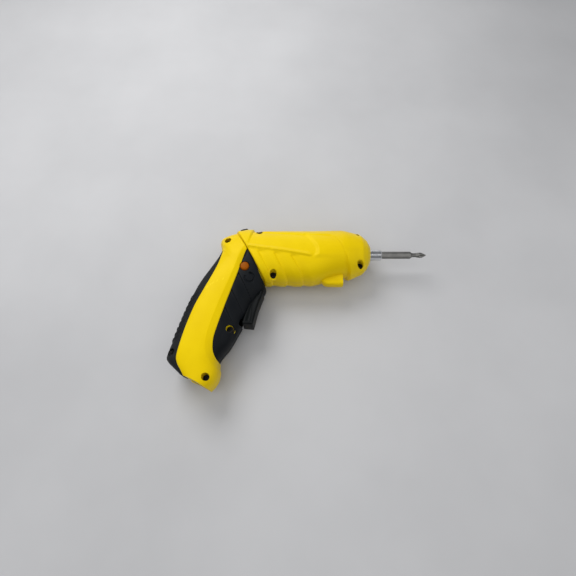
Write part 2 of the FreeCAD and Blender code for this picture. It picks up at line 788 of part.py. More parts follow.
def planet_pins(stage, back, long):
    pins = [Part.makeCylinder(size("planet_pin_radius"), long, planet_spot(index))
            for index in range(3)]
    plain("planet_pins_" + stage, Part.makeCompound(pins), on_spindle(back))


def gearbox():
    module = size("gear_module")
    sun = int(size("sun_count"))
    planet = int(size("planet_count"))
    ring = sun + 2 * planet
    case_long = size("case_back") - size("case_front")
    neck_long = size("case_front") - size("bush_front")
    case = Part.makeCylinder(size("case_radius"), case_long)
    hole = gear_face(ring, 1.1 * module, 0.8 * module, size("gear_backlash"), math.pi / ring)
    case = case.cut(hole.extrude(Vector(0, 0, size("case_back") - size("case_teeth_front"))))
    case = case.fuse(Part.makeCylinder(size("neck_radius"), neck_long, Vector(0, 0, case_long)))
    case = case.cut(Part.makeCylinder(size("spindle_radius") + 0.8, 10, Vector(0, 0, case_long - 5)))
    case = case.cut(Part.makeCylinder(size("bush_radius"), neck_long + 1, Vector(0, 0, case_long)))
    plain("gear_case", case, on_spindle(size("case_back")))
    tube("gear_case_cover", "-cover_back", "-case_back", "case_radius", "2.6")
    tube("spindle_bush", "-bush_back", "-bush_front", "bush_radius", "spindle_radius + running_gap")

    seat = size("pin_seat_deep")
    planets("two", size("stage_two_back"))
    planets("one", size("stage_one_back"))
    planet_pins("two", size("stage_two_back"), size("stage_two_back") - size("journal_back") + seat)
    planet_pins("one", size("stage_one_back"), size("stage_one_back") - size("carrier_back") + seat)
    plate = Part.makeCylinder(size("carrier_radius"), size("carrier_thick"))
    journal = Part.makeCylinder(size("journal_radius") + size("press_gap"), 10, Vector(0, 0, -2))
    pin_hole = size("planet_pin_radius") + size("press_gap")
    pin_seats = [Part.makeCylinder(pin_hole, seat + size("press_gap"), planet_spot(index))
                 for index in range(3)]
    plain("output_carrier", plate.cut(pin_seats + [journal]), on_spindle(size("journal_back")))
    plain("stage_carrier", plate.fuse(gear_solid(sun, size("carrier_sun_long"))).cut(pin_seats),
          on_spindle(size("carrier_back")))
    shaft = Part.makeCylinder(size("motor_shaft_radius") + size("press_gap"), 10, Vector(0, 0, -1))
    plain("motor_pinion", gear_solid(sun, size("pinion_long")).cut(shaft), on_spindle(size("pinion_back")))


# ---- spindle, holder and bit -------------------------------------------------------

def spindle_parts():
    holder = turned("bit_holder", [
        ("-journal_back", "0"), ("0", "0"), ("0", "holder_radius - 0.6"), ("-0.6", "holder_radius"),
        ("-holder_long", "holder_radius"), ("-holder_long", "spindle_radius"),
        ("-clip_front", "spindle_radius"), ("-clip_front", "spindle_radius - clip_groove"),
        ("-clip_front - clip_thick", "spindle_radius - clip_groove"),
        ("-clip_front - clip_thick", "spindle_radius"), ("-spindle_back", "spindle_radius"),
        ("-spindle_back", "journal_radius"), ("-journal_back", "journal_radius")])
    socket = outline(holder, "YZ_Plane", hexagon("hex_across + 2 * hex_slack"))
    cut_checked(holder, "hex_socket", socket, "socket_deep")
    seat = circle(holder, "YZ_Plane", "0", "0", "magnet_radius + 0.02")
    cut_checked(holder, "magnet_seat", seat, "socket_deep + magnet_thick")
    tube("spindle_clip", "-clip_front - clip_thick + 0.05", "-clip_front - 0.05", "clip_radius",
         "spindle_radius - clip_groove + 0.02")
    turned("holder_magnet", [("-socket_deep - magnet_thick + 0.05", "0"), ("-socket_deep", "0"),
                             ("-socket_deep", "magnet_radius"),
                             ("-socket_deep - magnet_thick + 0.05", "magnet_radius")])
    bit = new_body("driver_bit")
    sketch = outline(bit, "YZ_Plane", hexagon("hex_across"))
    pad = bit.newObject("PartDesign::Pad", "hex_shank")
    pad.Profile = sketch
    pad.setExpression("Length", "dims.bit_hex_front")
    pad.SideType = "Two sides"
    pad.setExpression("Length2", "dims.bit_tail")
    doc.recompute()
    neck = outline(bit, "XZ_Plane", [
        ("bit_hex_front - 1", "0"), ("bit_tip", "0"), ("bit_tip", "0.7"),
        ("bit_tip - 4", "bit_neck_radius - 0.1"), ("bit_tip - 6", "bit_neck_radius"),
        ("bit_neck_front", "bit_neck_radius"),
        ("bit_hex_front", "hex_across / 2"), ("bit_hex_front - 1", "hex_across / 2")])
    turn = bit.newObject("PartDesign::Revolution", "bit_neck")
    turn.Profile = neck
    turn.ReferenceAxis = (neck, ["H_Axis"])
    turn.Angle = 360
    doc.recompute()


# ---- motor and lamp ----------------------------------------------------------------

def motor():
    bearing = "motor_shaft_radius + running_gap"
    turned("motor_can", [("-motor_back", "motor_radius - can_wall"),
                         ("-cover_back - 1.2", "motor_radius - can_wall"), ("-cover_back - 1.2", bearing),
                         ("-cover_back", bearing), ("-cover_back", "motor_radius"),
                         ("-motor_back", "motor_radius")])
    tube("motor_end_cap", "-endcap_back", "-motor_back", "motor_radius", bearing)
    turned("armature", [("-commutator_back", "motor_shaft_radius + 0.01"),
                        ("-armature_front", "motor_shaft_radius + 0.01"),
                        ("-armature_front", "armature_radius"), ("-armature_back", "armature_radius"),
                        ("-armature_back", "commutator_radius"),
                        ("-commutator_back", "commutator_radius")])
    turned("motor_shaft", [("-motor_shaft_back", "0"), ("-motor_shaft_front", "0"),
                           ("-motor_shaft_front", "motor_shaft_radius"),
                           ("-motor_shaft_back", "motor_shaft_radius")])
    outer = size("motor_radius") - size("can_wall") - 0.02
    inner = outer - size("field_thick")
    fields = []
    for angle in (20, 200):
        arc = Part.makeCylinder(outer, size("field_long"), Vector(0, 0, 0), Vector(0, 0, 1), 140)
        arc = arc.cut(Part.makeCylinder(inner, size("field_long") + 2, Vector(0, 0, -1)))
        arc.rotate(Vector(0, 0, 0), Vector(0, 0, 1), angle)
        fields.append(arc)
    plain("field_magnets", Part.makeCompound(fields), on_spindle(size("field_back")))


def lamp():
    drop = Vector(0, 0, -size("lamp_drop"))
    axis = Vector(1, 0, 0)
    seat = Vector(-size("hood_front") - 4.0, 0, 0) + drop
    plain("lamp_lens", Part.makeCylinder(size("lens_radius"), 3.6, seat, axis))
    led = Part.makeCylinder(size("lamp_radius"), 5.0, seat - axis * 6.6, axis)
    plain("lamp_led", led.fuse(Part.makeSphere(size("lamp_radius"), seat - axis * 1.6)))


barrel_shells()
swivel_parts()
handle_shells()
controls()
springs()
handle_contents()
wires()
gearbox()
spindle_parts()
motor()
lamp()

doc.recompute()
for thing in doc.Objects:
    assert not {"Invalid", "Error"} & set(thing.State), thing.Label + " failed"
for thing in nodes:
    assert not thing.Shape.isNull() and thing.Shape.isValid(), thing.Label + " is not a valid shape"
os.makedirs("parts", exist_ok=True)
for thing in nodes:
    thing.Shape.exportStep("parts/%s.step" % thing.Label)
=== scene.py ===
import json
import math

import bpy
import numpy as np
from mathutils import Matrix, Vector


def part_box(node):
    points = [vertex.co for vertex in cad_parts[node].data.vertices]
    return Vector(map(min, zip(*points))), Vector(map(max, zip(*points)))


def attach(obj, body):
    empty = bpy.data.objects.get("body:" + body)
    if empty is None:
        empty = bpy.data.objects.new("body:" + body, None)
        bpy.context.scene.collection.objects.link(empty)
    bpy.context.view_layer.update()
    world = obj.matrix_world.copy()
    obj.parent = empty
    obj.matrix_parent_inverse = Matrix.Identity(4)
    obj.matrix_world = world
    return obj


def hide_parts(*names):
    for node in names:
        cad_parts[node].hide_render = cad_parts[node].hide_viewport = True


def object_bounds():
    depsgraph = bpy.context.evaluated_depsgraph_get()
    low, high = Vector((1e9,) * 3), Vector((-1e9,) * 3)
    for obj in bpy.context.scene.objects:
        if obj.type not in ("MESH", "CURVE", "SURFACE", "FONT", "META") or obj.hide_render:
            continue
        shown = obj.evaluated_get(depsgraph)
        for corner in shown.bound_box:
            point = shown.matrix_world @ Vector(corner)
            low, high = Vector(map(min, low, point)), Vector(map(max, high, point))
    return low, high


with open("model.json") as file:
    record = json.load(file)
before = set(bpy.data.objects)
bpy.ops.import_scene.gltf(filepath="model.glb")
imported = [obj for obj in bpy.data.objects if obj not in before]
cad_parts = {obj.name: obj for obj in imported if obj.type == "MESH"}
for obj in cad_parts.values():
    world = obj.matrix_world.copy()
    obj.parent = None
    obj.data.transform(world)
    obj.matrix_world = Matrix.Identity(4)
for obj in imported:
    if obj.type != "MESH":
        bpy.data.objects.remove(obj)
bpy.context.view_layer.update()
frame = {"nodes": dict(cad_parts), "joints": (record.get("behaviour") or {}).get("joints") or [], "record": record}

MM = 0.001

# The frame's own places, in millimetres: +X forward along the bit, +Y left, +Z up.
JOINTS = {joint["name"]: joint for joint in frame["joints"]}
SWIVEL = np.array(JOINTS["swivel_turn"]["pos_m"]) / MM
LEAN = np.array(JOINTS["swivel_turn"]["axis"], dtype=float)
LEAN /= np.linalg.norm(LEAN)
DOWN_FACE = np.array([LEAN[2], 0.0, -LEAN[0]])
JOINT_GAP = 0.3


def box_mm(node):
    low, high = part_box(node)
    return np.array(low) / MM, np.array(high) / MM


# ---- numbers and curves --------------------------------------------------------------

def smooth(value, low, high):
    """0 under low, 1 over high, and a smooth rise between."""
    t = np.clip((value - low) / (high - low), 0.0, 1.0)
    return t * t * (3 - 2 * t)


def spline(points, count):
    """A smooth curve through every point, evenly spaced in its parameter."""
    pts = np.array(points, dtype=float)
    ext = np.vstack([2 * pts[0] - pts[1], pts, 2 * pts[-1] - pts[-2]])
    out = []
    for u in np.linspace(0, len(pts) - 1, count):
        i = min(int(u), len(pts) - 2)
        t = u - i
        a, b, c, d = ext[i], ext[i + 1], ext[i + 2], ext[i + 3]
        out.append(0.5 * (2 * b + (c - a) * t + (2 * a - 5 * b + 4 * c - d) * t ** 2
                          + (3 * b - a - 3 * c + d) * t ** 3))
    return np.array(out)


def line_distance(x, z, line):
    """How far each place is from a line of points, signed by the side, and how far along."""
    best = np.full(np.shape(x), 1e9)
    sign = np.ones(np.shape(x))
    along_best = np.zeros(np.shape(x))
    for k in range(len(line) - 1):
        ax, az = line[k]
        bx, bz = line[k + 1]
        ex, ez = bx - ax, bz - az
        t = np.clip(((x - ax) * ex + (z - az) * ez) / (ex * ex + ez * ez), 0, 1)
        dx, dz = x - (ax + t * ex), z - (az + t * ez)
        dist = np.hypot(dx, dz)
        side = np.sign(ex * (z - az) - ez * (x - ax))
        closer = dist < best
        best = np.where(closer, dist, best)
        sign = np.where(closer, side, sign)
        along_best = np.where(closer, (k + t) / (len(line) - 1), along_best)
    return best * np.where(sign == 0, 1, sign), along_best


def behind_joint(x, z):
    """Distance behind the slanted joint face."""
    return -((x - SWIVEL[0]) * LEAN[0] + (z - SWIVEL[2]) * LEAN[2])


# ---- meshes --------------------------------------------------------------------------

def make_object(name, verts_mm, faces, smooth_faces=True):
    mesh = bpy.data.meshes.new(name)
    mesh.from_pydata([tuple(np.array(v) * MM) for v in verts_mm], [], faces)
    mesh.validate()
    if smooth_faces:
        mesh.shade_smooth()
    obj = bpy.data.objects.new(name, mesh)
    bpy.context.scene.collection.objects.link(obj)
    return obj


def grid_faces(rows, cols, flip=False):
    faces = []
    for i in range(rows - 1):
        for j in range(cols - 1):
            a = i * cols + j
            quad = (a, a + 1, a + cols + 1, a + cols)
            faces.append(quad[::-1] if flip else quad)
    return faces


def grid_normals(grid, flip):
    du = np.gradient(grid, axis=0)
    dv = np.gradient(grid, axis=1)
    n = np.cross(du, dv)
    length = np.linalg.norm(n, axis=2, keepdims=True)
    n = n / np.maximum(length, 1e-9)
    return -n if flip else n


def thick_sheet(name, outer, inner, flip):
    """A closed skin between two grids of the same size."""
    rows, cols = outer.shape[:2]
    verts = np.vstack([outer.reshape(-1, 3), inner.reshape(-1, 3)])
    count = rows * cols
    faces = grid_faces(rows, cols, flip)
    faces += [tuple(count + v for v in face[::-1]) for face in grid_faces(rows, cols, flip)]
    rim = [i * cols for i in range(rows)]
    rim += [(rows - 1) * cols + j for j in range(1, cols)]
    rim += [i * cols + cols - 1 for i in range(rows - 2, -1, -1)]
    rim += [j for j in range(cols - 2, 0, -1)]
    for k, a in enumerate(rim):
        b = rim[(k + 1) % len(rim)]
        quad = (a, b, b + count, a + count)
        faces.append(quad if flip else quad[::-1])
    return make_object(name, verts, faces)


def weld(obj, distance_mm=0.01):
    """Closes grid corners that meet in one place."""
    import bmesh
    bm = bmesh.new()
    bm.from_mesh(obj.data)
    bmesh.ops.remove_doubles(bm, verts=bm.verts, dist=distance_mm * MM)
    bmesh.ops.recalc_face_normals(bm, faces=bm.faces)
    bm.to_mesh(obj.data)
    bm.free()
    obj.data.shade_smooth()
    return obj


def finish_edges(obj, angle=35):
    """Smooth shading that keeps crisp edges sharper than the angle."""
    for other in bpy.context.selected_objects:
        other.select_set(False)
    bpy.context.view_layer.objects.active = obj
    obj.select_set(True)
    bpy.ops.object.shade_smooth_by_angle(angle=math.radians(angle))
    obj.select_set(False)
    return obj


def apply_modifiers(obj):
    for other in bpy.context.selected_objects:
        other.select_set(False)
    bpy.context.view_layer.objects.active = obj
    obj.select_set(True)
    for modifier in list(obj.modifiers):
        bpy.ops.object.modifier_apply(modifier=modifier.name)
    obj.select_set(False)


def loft(name, loops, closed=False):
    """A closed mesh through loops of equal length; the ends are capped unless the loops close up."""
    count = len(loops[0])
    verts = [point for loop in loops for point in loop]
    faces = []
    pairs = len(loops) if closed else len(loops) - 1
    for i in range(pairs):
        a, b = i * count, (i + 1) % len(loops) * count
        for k in range(count):
            n = (k + 1) % count
            faces.append((a + k, a + n, b + n, b + k))
    if not closed:
        faces.append(tuple(range(count))[::-1])
        faces.append(tuple(range((len(loops) - 1) * count, len(loops) * count)))
    return weld(make_object(name, verts, faces), 0.001)


def box_mesh(name, low, high):
    corners = [(low[0], low[1]), (high[0], low[1]), (high[0], high[1]), (low[0], high[1])]
    return loft(name, [[(x, y, z) for x, y in corners] for z in (low[2], high[2])])


def ring(centre, run, radius, sides=64, start=0.0):
    """Points round a circle that faces along run."""
    run = np.array(run, float) / np.linalg.norm(run)
    side = np.cross(run, [0.0, 1.0, 0.0]) if abs(run[1]) < 0.9 else np.array([1.0, 0.0, 0.0])
    side /= np.linalg.norm(side)
    up = np.cross(run, side)
    turns = [start + math.tau * k / sides for k in range(sides)]
    return [np.array(centre) + radius * (math.cos(t) * side + math.sin(t) * up) for t in turns]


def rod_mesh(name, start, end, radius, sides=48):
    run = np.array(end, float) - np.array(start, float)
    return loft(name, [ring(start, run, radius, sides), ring(end, run, radius, sides)])


def screw_cup(name, x, z, surface, seat, body, slot):
    """The sunk hole's wall and floor, its mouth following the surface it opens in."""
    loops = []
    for radius, sunk in ((SINK_RADIUS, None), (SINK_RADIUS, 0), (SINK_RADIUS + 1.1, 0), (SINK_RADIUS + 1.1, None)):
        loop = []
        for k in range(48):
            turn = math.tau * k / 48
            px, pz = x + radius * math.cos(turn), z + radius * math.sin(turn)
            depth = -seat if sunk is None else min(surface(px, pz), -seat - 0.3)
            loop.append((px, depth, pz))
        loops.append(loop)
    loops.append([(px, -seat + 1.2, pz) for px, _, pz in loops[-1]])
    place(finish_edges(loft(name, loops)), body, slot)


def joined(name, objects):
    """One mesh from several, which are removed."""
    verts, faces = [], []
    for obj in objects:
        base = len(verts)
        verts += [np.array(v.co) / MM for v in obj.data.vertices]
        faces += [tuple(base + i for i in face.vertices) for face in obj.data.polygons]
        bpy.data.objects.remove(obj)
    return make_object(name, verts, faces, False)


def cut_with(obj, cutters):
    """Takes every cutter away from the mesh at once, then removes the cutters."""
    cutter = joined("cutters", cutters)
    modifier = obj.modifiers.new("cut", "BOOLEAN")
    modifier.operation = "DIFFERENCE"
    modifier.solver = "MANIFOLD"
    modifier.object = cutter
    apply_modifiers(obj)
    bpy.data.objects.remove(cutter)


def place(obj, body, slot, nodes=()):
    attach(obj, body)
    if nodes:
        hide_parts(*nodes)
    obj.data.materials.clear()
    obj.data.materials.append(MATERIALS[slot])
    return obj


# ---- materials -----------------------------------------------------------------------

def new_material(name):
    material = bpy.data.materials.new(name)
    material.use_nodes = True
    tree = material.node_tree
    shader = tree.nodes["Principled BSDF"]
    return material, tree, shader


def link(tree, source, target):
    tree.links.new(source, target)


def noise(tree, coords, scale, detail=4.0, rough=0.55):
    node = tree.nodes.new("ShaderNodeTexNoise")
    node.inputs["Scale"].default_value = scale
    node.inputs["Detail"].default_value = detail
    node.inputs["Roughness"].default_value = rough
    link(tree, coords, node.inputs["Vector"])
    return node.outputs["Fac"]


def ramp(tree, value, stops):
    node = tree.nodes.new("ShaderNodeValToRGB")
    node.color_ramp.elements[0].position = stops[0][0]
    node.color_ramp.elements[0].color = (*stops[0][1], 1)
    node.color_ramp.elements[1].position = stops[-1][0]
    node.color_ramp.elements[1].color = (*stops[-1][1], 1)
    for position, colour in stops[1:-1]:
        element = node.color_ramp.elements.new(position)
        element.color = (*colour, 1)
    link(tree, value, node.inputs["Fac"])
    return node.outputs["Color"]


def mapped(tree, value, low, high):
    node = tree.nodes.new("ShaderNodeMapRange")
    node.inputs["To Min"].default_value = low
    node.inputs["To Max"].default_value = high
    link(tree, value, node.inputs["Value"])
    return node.outputs["Result"]


def mix_colour(tree, fac, a, b):
    node = tree.nodes.new("ShaderNodeMix")
    node.data_type = "RGBA"
    link(tree, fac, node.inputs[0])
    for index, value in ((6, a), (7, b)):
        if isinstance(value, tuple):
            node.inputs[index].default_value = (*value, 1)
        else:
            link(tree, value, node.inputs[index])
    return node.outputs[2]


def add_bump(tree, shader, height, strength, distance_mm):
    bump = tree.nodes.new("ShaderNodeBump")
    bump.inputs["Strength"].default_value = strength
    bump.inputs["Distance"].default_value = distance_mm * MM
    link(tree, height, bump.inputs["Height"])
    link(tree, bump.outputs["Normal"], shader.inputs["Normal"])


def edge_wear(tree, low=0.52, high=0.62):
    """1 on worn outer edges, 0 elsewhere."""
    geometry = tree.nodes.new("ShaderNodeNewGeometry")
    node = tree.nodes.new("ShaderNodeMapRange")
    node.inputs["From Min"].default_value = low
    node.inputs["From Max"].default_value = high
    link(tree, geometry.outputs["Pointiness"], node.inputs["Value"])
    return node.outputs["Result"]


def object_coords(tree):
    return tree.nodes.new("ShaderNodeTexCoord").outputs["Object"]


def plastic(name, colour, deep, roughness, grain_mm, grain_strength, wear, specular=0.5,
            coat=0.0, sheen=(1.0, 1.0, 1.0)):
    """Moulded plastic: slight colour drift, a fine spark-eroded grain, scuffs and polished edges."""
    material, tree, shader = new_material(name)
    coords = object_coords(tree)
    drift = noise(tree, coords, 28.0, 3.0)
    base = ramp(tree, drift, [(0.3, deep), (0.7, colour)])
    worn = mix_colour(tree, edge_wear(tree), base, wear)
    link(tree, worn, shader.inputs["Base Color"])
    smudge = noise(tree, coords, 90.0, 6.0, 0.65)
    link(tree, mapped(tree, smudge, roughness * 0.82, roughness * 1.2), shader.inputs["Roughness"])
    shader.inputs["Specular IOR Level"].default_value = specular
    shader.inputs["Specular Tint"].default_value = (*sheen, 1.0)
    shader.inputs["Coat Weight"].default_value = coat
    shader.inputs["Coat Roughness"].default_value = 0.25
    grain = noise(tree, coords, 1.0 / (grain_mm * MM), 2.0, 0.5)
    add_bump(tree, shader, grain, grain_strength, 0.05)
    return material


def metal(name, colour, roughness, brush_axis="X", brushing=0.15):
    """Turned or plated metal: fine lines round the axis and light stains."""
    material, tree, shader = new_material(name)
    coords = object_coords(tree)
    mapping = tree.nodes.new("ShaderNodeMapping")
    stretch = {"X": (3000, 60, 60), "Y": (60, 3000, 60), "Z": (60, 60, 3000)}[brush_axis]
    mapping.inputs["Scale"].default_value = stretch
    link(tree, coords, mapping.inputs["Vector"])
    lines = noise(tree, mapping.outputs["Vector"], 1.0, 3.0)
    stains = noise(tree, coords, 160.0, 5.0)
    dark = tuple(c * 0.72 for c in colour)
    link(tree, ramp(tree, stains, [(0.3, dark), (0.62, colour)]), shader.inputs["Base Color"])
    link(tree, mapped(tree, lines, roughness * 0.7, roughness * 1.4), shader.inputs["Roughness"])
    shader.inputs["Metallic"].default_value = 1.0
    add_bump(tree, shader, lines, brushing, 0.02)
    return material


def rubber_material(name, colour, deep):
    material, tree, shader = new_material(name)
    coords = object_coords(tree)
    dust = noise(tree, coords, 60.0, 6.0, 0.7)
    link(tree, ramp(tree, dust, [(0.35, deep), (0.75, colour)]), shader.inputs["Base Color"])
    link(tree, mapped(tree, noise(tree, coords, 220.0, 3.0), 0.55, 0.8), shader.inputs["Roughness"])
    shader.inputs["Specular IOR Level"].default_value = 0.14
    add_bump(tree, shader, noise(tree, coords, 1800.0, 3.0), 0.35, 0.06)
    return material


def lens_material(name):
    material, tree, shader = new_material(name)
    coords = object_coords(tree)
    haze = noise(tree, coords, 500.0, 3.0)
    link(tree, ramp(tree, haze, [(0.3, (0.82, 0.84, 0.86)), (0.7, (0.95, 0.96, 0.97))]),
         shader.inputs["Base Color"])
    link(tree, mapped(tree, haze, 0.03, 0.12), shader.inputs["Roughness"])
    shader.inputs["Transmission Weight"].default_value = 0.85
    shader.inputs["IOR"].default_value = 1.49
    return material


def board_material(name):
    """Solder mask with faint tracks."""
    material, tree, shader = new_material(name)
    coords = object_coords(tree)
    brick = tree.nodes.new("ShaderNodeTexBrick")
    brick.inputs["Scale"].default_value = 420.0
    brick.inputs["Color1"].default_value = (0.012, 0.12, 0.045, 1)
    brick.inputs["Color2"].default_value = (0.016, 0.16, 0.06, 1)
    brick.inputs["Mortar"].default_value = (0.03, 0.24, 0.09, 1)
    link(tree, coords, brick.inputs["Vector"])
    link(tree, brick.outputs["Color"], shader.inputs["Base Color"])
    link(tree, mapped(tree, noise(tree, coords, 300.0), 0.25, 0.45), shader.inputs["Roughness"])
    add_bump(tree, shader, brick.outputs["Fac"], 0.3, 0.05)
    return material


def winding_material(name):
    """Varnished copper wire wound along the armature."""
    material, tree, shader = new_material(name)
    coords = object_coords(tree)
    wave = tree.nodes.new("ShaderNodeTexWave")
    wave.inputs["Scale"].default_value = 400.0
    wave.inputs["Distortion"].default_value = 1.5
    link(tree, coords, wave.inputs["Vector"])
    link(tree, ramp(tree, wave.outputs["Fac"], [(0.2, (0.22, 0.07, 0.02)), (0.8, (0.75, 0.33, 0.14))]),
         shader.inputs["Base Color"])
    shader.inputs["Metallic"].default_value = 0.9
    link(tree, mapped(tree, noise(tree, coords, 300.0), 0.25, 0.45), shader.inputs["Roughness"])
    add_bump(tree, shader, wave.outputs["Fac"], 0.5, 0.15)
    return material


MATERIALS = {
    "yellow_shell": plastic("yellow_shell", (0.84, 0.605, 0.003), (0.78, 0.545, 0.002), 0.38, 0.35, 0.10,
                            (0.86, 0.64, 0.012), 0.26, 0.0, (1.0, 0.80, 0.12)),
    "black_panel": plastic("black_panel", (0.0050, 0.0066, 0.0088), (0.0032, 0.0044, 0.0060), 0.46, 0.25, 0.35,
                           (0.014, 0.018, 0.022), 0.12),
    "grip_rubber": rubber_material("grip_rubber", (0.02, 0.022, 0.023), (0.010, 0.011, 0.012)),
    "trigger_plastic": plastic("trigger_plastic", (0.0042, 0.0056, 0.0060), (0.0028, 0.0038, 0.0042), 0.46, 0.3, 0.25,
                               (0.012, 0.015, 0.016), 0.09),
    "button_orange": plastic("button_orange", (0.34, 0.080, 0.002), (0.20, 0.045, 0.001), 0.38, 0.3, 0.1,
                             (0.42, 0.12, 0.006), 0.2, 0.0, (1.0, 0.6, 0.2)),
    "holder_chrome": metal("holder_chrome", (0.78, 0.79, 0.81), 0.14, "X", 0.05),
    "bit_steel": metal("bit_steel", (0.23, 0.225, 0.215), 0.34, "X", 0.2),
    "screw_black": metal("screw_black", (0.018, 0.017, 0.016), 0.5, "Y", 0.1),
    "gear_steel": metal("gear_steel", (0.48, 0.48, 0.49), 0.4, "X", 0.3),
    "pin_steel": metal("pin_steel", (0.62, 0.62, 0.64), 0.25, "X", 0.1),
    "case_nylon": plastic("case_nylon", (0.52, 0.51, 0.46), (0.44, 0.43, 0.39), 0.5, 0.4, 0.3, (0.6, 0.6, 0.55)),
    "bush_bronze": metal("bush_bronze", (0.68, 0.46, 0.2), 0.38, "X", 0.15),
    "motor_steel": metal("motor_steel", (0.52, 0.52, 0.53), 0.3, "X", 0.2),
    "end_cap_plastic": plastic("end_cap_plastic", (0.03, 0.03, 0.032), (0.018, 0.018, 0.02), 0.5, 0.3, 0.3,
                               (0.06, 0.06, 0.06)),
    "ferrite": plastic("ferrite", (0.07, 0.07, 0.075), (0.045, 0.045, 0.05), 0.65, 0.15, 0.6, (0.12, 0.12, 0.12)),
    "copper": winding_material("copper"),
    "magnet_nickel": metal("magnet_nickel", (0.7, 0.68, 0.62), 0.2, "X", 0.05),
    "cell_wrap": plastic("cell_wrap", (0.05, 0.17, 0.34), (0.035, 0.12, 0.26), 0.28, 1.5, 0.15,
                         (0.1, 0.25, 0.42), 0.5, 0.4),
    "board_green": board_material("board_green"),
    "lens_clear": lens_material("lens_clear"),
    "led_white": plastic("led_white", (0.86, 0.85, 0.74), (0.8, 0.78, 0.6), 0.15, 0.5, 0.05, (0.9, 0.9, 0.85)),
    "wire_red": plastic("wire_red", (0.46, 0.02, 0.018), (0.36, 0.014, 0.012), 0.42, 0.5, 0.2, (0.55, 0.06, 0.05)),
}


def dress_cad_nodes():
    """Every CAD node that still shows takes its slot's material."""
    for entry in frame["record"]["subparts"]:
        node = frame["nodes"][entry["node"]]
        node.data.materials.clear()
        node.data.materials.append(MATERIALS[entry["material_slot"]])
        finish_edges(node, 30)


# ---- barrel --------------------------------------------------------------------------

NOSE_FRONT = -box_mm("body_shell_right")[1][0]
NOSE_FACE = 10.3
NOSE_HOLE = 5.0
LOCK_LOW, LOCK_HIGH = box_mm("lock_button")
LOCK_FOOT = 1.2
BARREL_SCREWS = [(-107.0, -27.0), (-121.0, 17.5), (-24.0, -16.5), (-24.0, 16.5)]
HANDLE_SCREWS = [(-151.2, 7.4), (-161.8, -123.4), (-193.4, -102.0), (-144.5, -81.0)]
SINK_RADIUS = 3.3
SINK_SEAT = 8.0
NOSE_SEAT = 6.0
HUB_HOLE = 12.1

RIDGE = [(-132.0, -1.6), (-118.0, -3.8), (-102.0, -6.0), (-86.0, -8.8), (-69.6, -11.9)]
PANEL_END = [(-69.6, -11.9), (-66.8, -9.0), (-66.6, -4.6), (-68.4, -0.4), (-71.0, 4.0), (-76.4, 10.2)]
TOP_RAIL = [(-122.0, 16.8), (-100.0, 14.6), (-76.3, 12.4), (-60.0, 11.4), (-52.0, 10.2), (-47.2, 6.8),
            (-43.6, 1.6), (-40.6, -4.6), (-37.2, -13.0), (-34.1, -21.3), (-31.6, -28.6)]
GROOVES = [[(-122.2, -4.0), (-112.8, -22.6), (-103.6, -39.0)],
           [(-106.6, -6.4), (-98.2, -24.0), (-89.4, -39.6)],
           [(-90.8, -9.6), (-82.2, -24.0), (-74.0, -39.6)]]
COLLAR_EDGE = [(-125.0, 26.0), (-128.0, 13.0), (-132.2, -3.6)]


def barrel_section(back):
    """Middle height, half height, half width and roundness of the barrel at x = -back."""
    round_part = smooth(-back, -76.0, -34.0)
    drop = -4.9 * (1 - round_part) + 0.7 * smooth(-back, -34.0, -24.0) * smooth(back, 12.5, 17.0)
    nose = np.interp(back - NOSE_FRONT, [0.0, 0.35, 8.3, 9.4, 12.5, 18.5, 23.5, 27.5],
                     [NOSE_FACE, 10.8, 17.5, 18.2, 19.3, 21.3, 22.7, 23.4])
    high = 27.2 * (1 - round_part) + nose * round_part
    wide = 21.8 * (1 - round_part) + nose * round_part
    return drop, high, wide, 2.4 - 0.4 * round_part


def barrel_point(back, theta):
    middle, high, wide, power = barrel_section(back)
    c, s = math.cos(theta), math.sin(theta)
    z = middle + high * math.copysign(abs(c) ** (2 / power), c)
    y = -wide * abs(s) ** (2 / power)
    return np.array([-back, y, z])


def barrel_back(theta):
    """The x distance at which the barrel's line at this angle meets the joint face."""
    z = barrel_point(120.0, theta)[2]
    x = SWIVEL[0] - (z - SWIVEL[2]) * LEAN[2] / LEAN[0] + JOINT_GAP / LEAN[0]
    return -x


